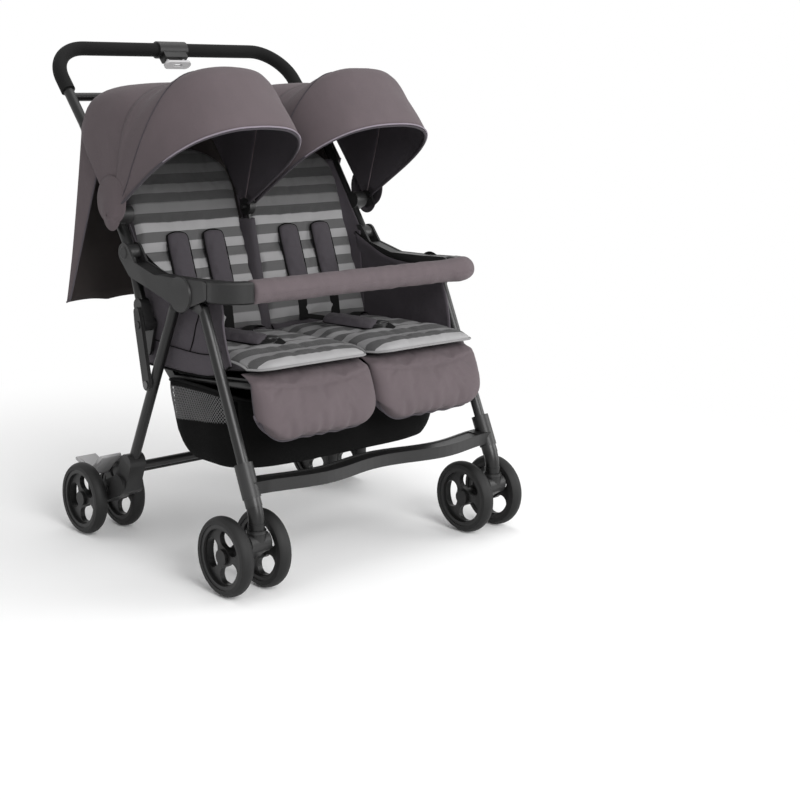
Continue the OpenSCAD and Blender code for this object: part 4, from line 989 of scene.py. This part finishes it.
# strip between the seats
rows = []
for j in range(25):
    ahead = pad_dir * seat_len * 0.8 * j / 24 - pad_up * (seat_gusset_drop + seat_gusset_fall * j / 24)
    rows.append([pad_rear + ahead + X * span(i, 8) * seat_gusset_half
                 - pad_up * seat_gusset_drop * cos(span(i, 8) * pi / 2) for i in range(9)])
seat_strip = sheet_grid("seat_gusset", rows, [dark_side, lining])
thicken(seat_strip, cloth_t)
press(wear(seat_strip, "seat"))


# bumper sleeve

def sleeve_r(t):
    bend = 0.09 * min(1.0, max(0.0, (t - 0.86) / 0.05))
    drawn = 0.07 * bell(t, 0.006) + 0.05 * bell(t - 1, 0.004) + 0.02 * bell(t - 0.5, 0.01)
    return bumper_r * (1 + bend - drawn)


sleeve_path = [Vector((bumper_half * span(k, 90), bumper_y, bumper_z)) for k in range(91)]
for k in range(1, 9):
    turn = radians(6 * k)
    sleeve_path.append(Vector((bumper_half + bumper_bend * sin(turn),
                               bumper_y + bumper_bend * (1 - cos(turn)), bumper_z)))
sleeve = smoother(tube("bumper_cover", sleeve_path, sleeve_r, taupe, 28, wobble=sleeve_ripple))
wear(sleeve, "armrests")
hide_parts("bumper_sleeve")


# canopies

def seam_angle(i, last):
    """The visor's seam is a crescent from the front edge's two ends."""
    away = abs(span(i, last))
    rise = seam_rise * (sqrt(away * away + 0.04) - 0.2)
    return seam_mid + rise + (visor_to - seam_mid - seam_end) * away ** 8


def bow(angle):
    """Radius in the middle, radius at the ends and squareness of the bow at one angle about the hub."""
    last = len(BOWS) - 1
    k = min(last - 1, max(i for i in range(last) if i == 0 or BOWS[i][0] <= angle))
    t = (angle - BOWS[k][0]) / (BOWS[k + 1][0] - BOWS[k][0])
    near = [BOWS[min(last, max(0, k + i))][1:] for i in (-1, 0, 1, 2)]
    return tuple(q + 0.5 * t * (r - p + t * (2 * p - 5 * q + 4 * r - s + t * (3 * (q - r) + s - p)))
                 for p, q, r, s in zip(*near))


def around(degrees):
    """Direction from the hub at one angle."""
    a = radians(degrees)
    return Vector((0, cos(a), sin(a)))


def hood_row(side, angle, inset, sag):
    """Points of one hood across its width at one angle, from hub to hub."""
    mid, end, boxy = bow(angle)
    mid, end = (mid - sag) * MM - inset, end * MM - inset
    x0, x1 = canopy_x[0] + inset, canopy_x[1] - inset
    ray = around(angle)
    row = [(x0, hub_reach + (end - hub_reach) * k / 6) for k in range(6)]
    for k in range(41):
        u = -cos(pi * k / 40)
        arch = max(0, 1 - abs(u) ** boxy) ** (1 / boxy)
        row.append(((x0 + x1) / 2 + u * (x1 - x0) / 2, end + (mid - end) * arch))
    row += [(x1, end + (hub_reach - end) * (k + 1) / 6) for k in range(6)]
    out = []
    for x, r in row:
        p = canopy_hub + X * side * x + ray * r
        out.append(p + ray * hood_ripple * noise.noise(p * 24))
    return out


def hood(name, side, a0, a1, inset, sag):
    rows = []
    for j in range(hood_steps + 1):
        t = j / hood_steps
        rows.append(hood_row(side, a0 + (a1 - a0) * t, inset, sag * sin(pi * t)))
    if side > 0:
        rows = [row[::-1] for row in rows]
    return sheet_grid(name, rows, [taupe, lining]), rows


for word, side in SIDES.items():
    visor, rows = hood("visor_cloth_" + word, side, visor_from, visor_to, 0.0, visor_sag)
    thicken(visor, cloth_t / 2)
    wear(visor, "visor_" + word)
    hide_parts("visor_" + word)
    under = [p + (canopy_hub + X * p.x - p).normalized() * band_drop for p in rows[-1]]
    sewn = []
    for i in range(len(rows[0])):
        a = seam_angle(i, len(rows[0]) - 1)
        sag = visor_sag * sin(pi * (a - visor_from) / (visor_to - visor_from))
        sewn.append(hood_row(side, a, -seam_proud, sag)[i])
    for part, row, r, mat in (("front", rows[-1], front_piping_r, trim), ("band", under, band_r, lining),
                              ("seam", sewn, seam_r, lining)):
        cord = tube(f"visor_{part}_piping_{word}", row, r, mat, 8)
        wear(cord, "visor_" + word)

    panel, rows = hood("rear_panel_" + word, side, rear_bow, visor_from + rear_lap, rear_inset,
                       panel_sag)
    thicken(panel, cloth_t)
    wear(panel, "handle_frame")
    if word == "left":
        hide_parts("canopy_rear")

    # pocket of cloth over the outer hub
    rows = []
    for j in range(11):
        t = 0.03 + 0.97 * j / 10
        row = []
        for i in range(48):
            a = 2 * pi * i / 48
            r = (pocket_r + pocket_rise * max(0.0, sin(a) + 0.35)) * t
            ripple = pocket_ripple * (1 - t) * noise.noise(Vector((a, t * 3, side)))
            lift = pocket_gap + pocket_deep * (1 - t * t) ** 2 + ripple
            row.append(canopy_hub + X * side * (canopy_x[1] + lift)
                       + Vector((0, cos(a), sin(a))) * r)
        rows.append(row if side < 0 else row[::-1])
    pocket = sheet_grid("hub_pocket_" + word, rows, [taupe, lining], wrap=True)
    thicken(pocket, cloth_t / 4)
    wear(pocket, "handle_frame")


# rear cover

def cover_top(x):
    """Rear edge of the hoods at one place across the width."""
    mid, end, boxy = bow(rear_bow)
    centre, half = (canopy_x[0] + canopy_x[1]) / 2, (canopy_x[1] - canopy_x[0]) / 2
    u = min(1.0, abs(abs(x) - centre) / half)
    r = (end + (mid - end) * max(0, 1 - u ** boxy) ** (1 / boxy)) * MM - cover_inset
    return canopy_hub + around(rear_bow) * r + X * x


rows = []
for j in range(25):
    d = j / 24
    row = []
    for i in range(121):
        s = span(i, 120)
        main = min(1.0, abs(s) / cover_main)
        wing = past(abs(s), cover_main)
        x = copysign((cover_half - cover_flare * (1 - d)) * main, s)
        top = cover_top(x).lerp(canopy_hub + cover_front + X * x, wing)
        scallop = scallop_high * abs(sin(s * 11)) * (1 - wing)
        low = Vector((x, hem_y - flap_fore * wing, hem_z + flap_up * wing + scallop))
        p = top.lerp(low, d)
        fold = fold_deep * d * cos(s * 22 + 0.6 * sin(6 * s)) * (1 - wing)
        swell = cover_swell * sin(pi * d) * (1 - main ** 6)
        p.y += fold - cover_lean * d + swell
        row.append(p)
    rows.append(row)
cover = sheet_grid("rear_curtain", rows, [taupe, brown_lining])
thicken(cover, cloth_t)
wear(cover, "handle_frame")
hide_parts("rear_cover")
for part, path in (("hem", rows[-1]), ("side_left", [row[-1] for row in rows]),
                   ("side_right", [row[0] for row in rows])):
    cord = tube("curtain_piping_" + part, path, curtain_piping_r, taupe_dark, 8)
    wear(cord, "handle_frame")


# side panels

def panel_rows():
    top, low = (curve([Vector((0, y, z)) for y, z in line], 8) for line in (panel_top, panel_low))
    out = []
    for j in range(17):
        d = j / 16
        row = []
        for a, b in zip(top, low):
            p = a.lerp(b, d) * MM
            row.append(p + X * (panel_swell * sin(pi * d) + panel_ripple * noise.noise(p * 28)))
        out.append(row)
    return out


def hang(obj):
    """Cloth fixed to the armrests, with its own copy of its mesh."""
    wear(obj, "armrests")
    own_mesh(obj)


for word, side in SIDES.items():
    rows = [[Vector((side * (panel_x + p.x), p.y, p.z)) for p in row] for row in panel_rows()]
    if side > 0:
        rows = [row[::-1] for row in rows]
    wing = sheet_grid("side_panel_" + word, rows, [taupe_dark, lining])
    thicken(wing, cloth_t)
    hang(wing)
    if word == "left":
        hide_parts("side_panels")
    front = [row[-1 if side > 0 else 0] for row in rows]
    for part, path, mat in (("front", front, taupe_dark), ("low", rows[-1], black_cloth),
                            ("top", rows[0], black_cloth)):
        hang(tube(f"side_piping_{part}_{word}", path, piping_r, mat, 8))
    proud = X * side * panel_seam_proud
    slant = []
    for j in range(11):
        t = 0.27 + 0.03 * j
        t = 24 * (1 - t if side > 0 else t)
        i = int(t)
        slant.append(rows[2 + j][i].lerp(rows[2 + j][i + 1], t - i) + proud)
    level = [rows[12][i] + proud for i in range(3, 22)]
    for part, path in (("slant", slant), ("level", level)):
        hang(tube(f"side_seam_{part}_{word}", path, panel_seam_r, black_cloth, 8))


# basket

def basket_ring(d, inset=0.0):
    """Ring of the tub at a share of its height, bulging a little below."""
    half_y = (basket_y[1] - basket_y[0]) / 2
    mid_y = (basket_y[1] + basket_y[0]) / 2
    ring = []
    for k in range(ring_count):
        a = 2 * pi * k / ring_count
        cx, cy = power(cos(a), 0.5), power(sin(a), 0.5)
        e = d + net_slant * (1 - cy) / 2 * min(d / net_from, (1 - d) / (1 - net_from))
        swell = 1 - 0.12 * (1 - e) ** 4 - 0.015 * sin(pi * min(1.0, e * 1.1))
        z = basket_z[0] + basket_high * e
        dip = basket_dip * e ** 3 * (1 - abs(cx) ** 4) * (1 if d > 0.9 else 0.6)
        dip -= basket_ears * e ** 3 * abs(cx) ** 8
        p = Vector((basket_half * swell * cx, mid_y + half_y * swell * cy, z - dip))
        p.y -= basket_tuck * (1 - e) ** 1.5 * max(0.0, cy)
        ring.append(p + Vector((cx, cy, 0)) * (basket_ripple * noise.noise(p * 20) - inset))
    return ring


def at_side(i):
    return abs(cos(2 * pi * i / ring_count)) > 0.8


def wall(side, d):
    """One height of the tub's side wall as points from front to back."""
    ring = basket_ring(d, net_inset)
    return sorted((q for k, q in enumerate(ring) if at_side(k) and q.x * side > 0), key=lambda q: q.y)


def net_line(side, j):
    line = wall(side, net_from - 0.01 + (net_to - net_from + 0.02) * j / net_rows)
    out = []
    for i in range(net_count):
        share = min(1.0, (i + 0.5 * (j % 2)) / (net_count - 1))
        y = line[0].y + (line[-1].y - line[0].y) * share
        k = max(n for n in range(len(line) - 1) if n == 0 or line[n].y <= y)
        out.append(line[k].lerp(line[k + 1], (y - line[k].y) / (line[k + 1].y - line[k].y)))
    return out


def sink(obj):
    """Basket cloth fixed to the rear frame, with its own copy of its mesh."""
    wear(obj, "rear_frame")
    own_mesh(obj)


rings = [basket_ring(d) for d in basket_levels]
centre = sum(rings[0], Vector()) / len(rings[0])
floor_rings = [[centre + (p - centre) * t - Vector((0, 0, tub_sag * (1 - t))) for p in rings[0]]
               for t in (0.02, 0.5, 0.8)]
net_first = len(floor_rings) + basket_levels.index(net_from)
net_last = len(floor_rings) + basket_levels.index(net_to) - 1
tub = sheet_grid("basket_tub", floor_rings + rings, [black_cloth, black_cloth], wrap=True,
                 keep=lambda i, j: not (net_first <= j <= net_last and at_side(i + 0.5)))
thicken(tub, tub_t)
sink(tub)
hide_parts("basket")

net_verts, net_faces, net_uvs = [], [], []
for side in (1, -1):
    grid = [net_line(side, j) for j in range(net_rows + 1)]
    out = X * side
    for j in range(net_rows):
        for i in range(net_count):
            for k in (i, i - 1 if j % 2 == 0 else i + 1):
                if not 0 <= k < net_count:
                    continue
                a, b = grid[j][i], grid[j + 1][k]
                w = (b - a).cross(out).normalized() * cord_half
                h = out * cord_half
                n = len(net_verts)
                net_verts += [a - w, a + h, a + w, a - h, b - w, b + h, b + w, b - h]
                net_uvs += [(q.x + q.y, q.z) for q in net_verts[n:]]
                net_faces += [(n + q, n + (q + 1) % 4, n + 4 + (q + 1) % 4, n + 4 + q)
                              for q in range(4)]
liner_rows = [basket_ring(net_from - 0.03 + (net_to - net_from + 0.06) * j / 8, liner_inset)
              for j in range(9)]
liner = sheet_grid("basket_liner", liner_rows, [black_cloth, black_cloth], wrap=True,
                   keep=lambda i, j: at_side(i + 0.5))
edge = wall(1, net_to)
thicken(liner, liner_t)
sink(liner)
net = make("basket_net", net_verts, net_faces, net_uvs, [net_cloth])
sink(net)
rim = tube("basket_binding", rings[-1], binding_r, webbing, 8, True)
sink(rim)


# stage

def background_ray(tree):
    """1 for a ray that shows the background: from the camera, mirrored or through a clear surface."""
    path = tree.nodes.new("ShaderNodeLightPath")
    out = path.outputs["Is Camera Ray"]
    for kind in ("Is Glossy Ray", "Is Transmission Ray"):
        either = tree.nodes.new("ShaderNodeMath")
        either.operation = "MAXIMUM"
        tree.links.new(out, either.inputs[0])
        tree.links.new(path.outputs[kind], either.inputs[1])
        out = either.outputs[0]
    return out


rows = [[Vector((floor_r * span(i, floor_steps), floor_r * span(j, floor_steps), floor_z))
         for i in range(floor_steps + 1)] for j in range(floor_steps + 1)]
look = Shader("pale_floor", False)
pale = look.finish(look.mix(look.noise(3.0), grey(248), grey(252)), 0.9,
                   look.bump(look.noise(60.0), 0.1 * MM, 0.2))
far = look.node("ShaderNodeVectorMath", {0: look.place}, operation="LENGTH").outputs["Value"]
fade = look.node("ShaderNodeMapRange", {"Value": far, "From Min": floor_fade[0],
                                        "From Max": floor_fade[1]},
                 interpolation_type="SMOOTHSTEP").outputs["Result"]
glow = look.node("ShaderNodeEmission", {}).outputs[0]
blend = look.node("ShaderNodeMixShader", {0: look.math("MULTIPLY", fade, background_ray(look.tree)),
                                          1: look.surface.outputs[0], 2: glow})
look.feed(look.tree.nodes["Material Output"].inputs["Surface"], blend.outputs[0])
sheet_grid("floor", rows, [pale])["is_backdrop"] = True

world = bpy.data.worlds.new("studio")
bpy.context.scene.world = world
world.use_nodes = True
tree = world.node_tree
shade = tree.nodes["Background"]
seen = tree.nodes.new("ShaderNodeBackground")
for light, strength in ((shade, world_light), (seen, 1.0)):
    light.inputs["Color"].default_value = (1, 1, 1, 1)
    light.inputs["Strength"].default_value = strength
pick_ray = tree.nodes.new("ShaderNodeMixShader")
tree.links.new(background_ray(tree), pick_ray.inputs["Fac"])
tree.links.new(shade.outputs[0], pick_ray.inputs[1])
tree.links.new(seen.outputs[0], pick_ray.inputs[2])
tree.links.new(pick_ray.outputs[0], tree.nodes["World Output"].inputs["Surface"])


def lamp(name, at, aim, size, power_w):
    data = bpy.data.lights.new(name, "AREA")
    data.shape = "DISK"
    data.size = size
    data.energy = power_w
    obj = new_object(name, data)
    obj.location = at
    obj.rotation_euler = (Vector(aim) - Vector(at)).to_track_quat("-Z", "Y").to_euler()


lamp("key", (-0.7, -3.9, 2.3), (0, 0, 0.55), 2.4, 135)
lamp("top", (0.6, 0.2, 3.6), (0, 0, 0.4), 2.6, 26)
lamp("fill", (2.8, -2.4, 1.3), (0, 0, 0.5), 2.2, 50)

camera = bpy.data.cameras.new("photo")
camera.sensor_width = 36
camera.lens = 64.52
camera.shift_x = 0.1357
camera.shift_y = -0.1273
eye = new_object("photo", camera)
eye.location = (-1.88306, -2.39213, 0.93740)
turn, lift = radians(-38.991), radians(8.315)
toward = Vector((-sin(turn) * cos(lift), cos(turn) * cos(lift), -sin(lift)))
eye.rotation_euler = toward.to_track_quat("-Z", "Y").to_euler()
bpy.context.scene.camera = eye
bpy.context.scene.view_settings.view_transform = "Standard"

low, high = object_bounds()
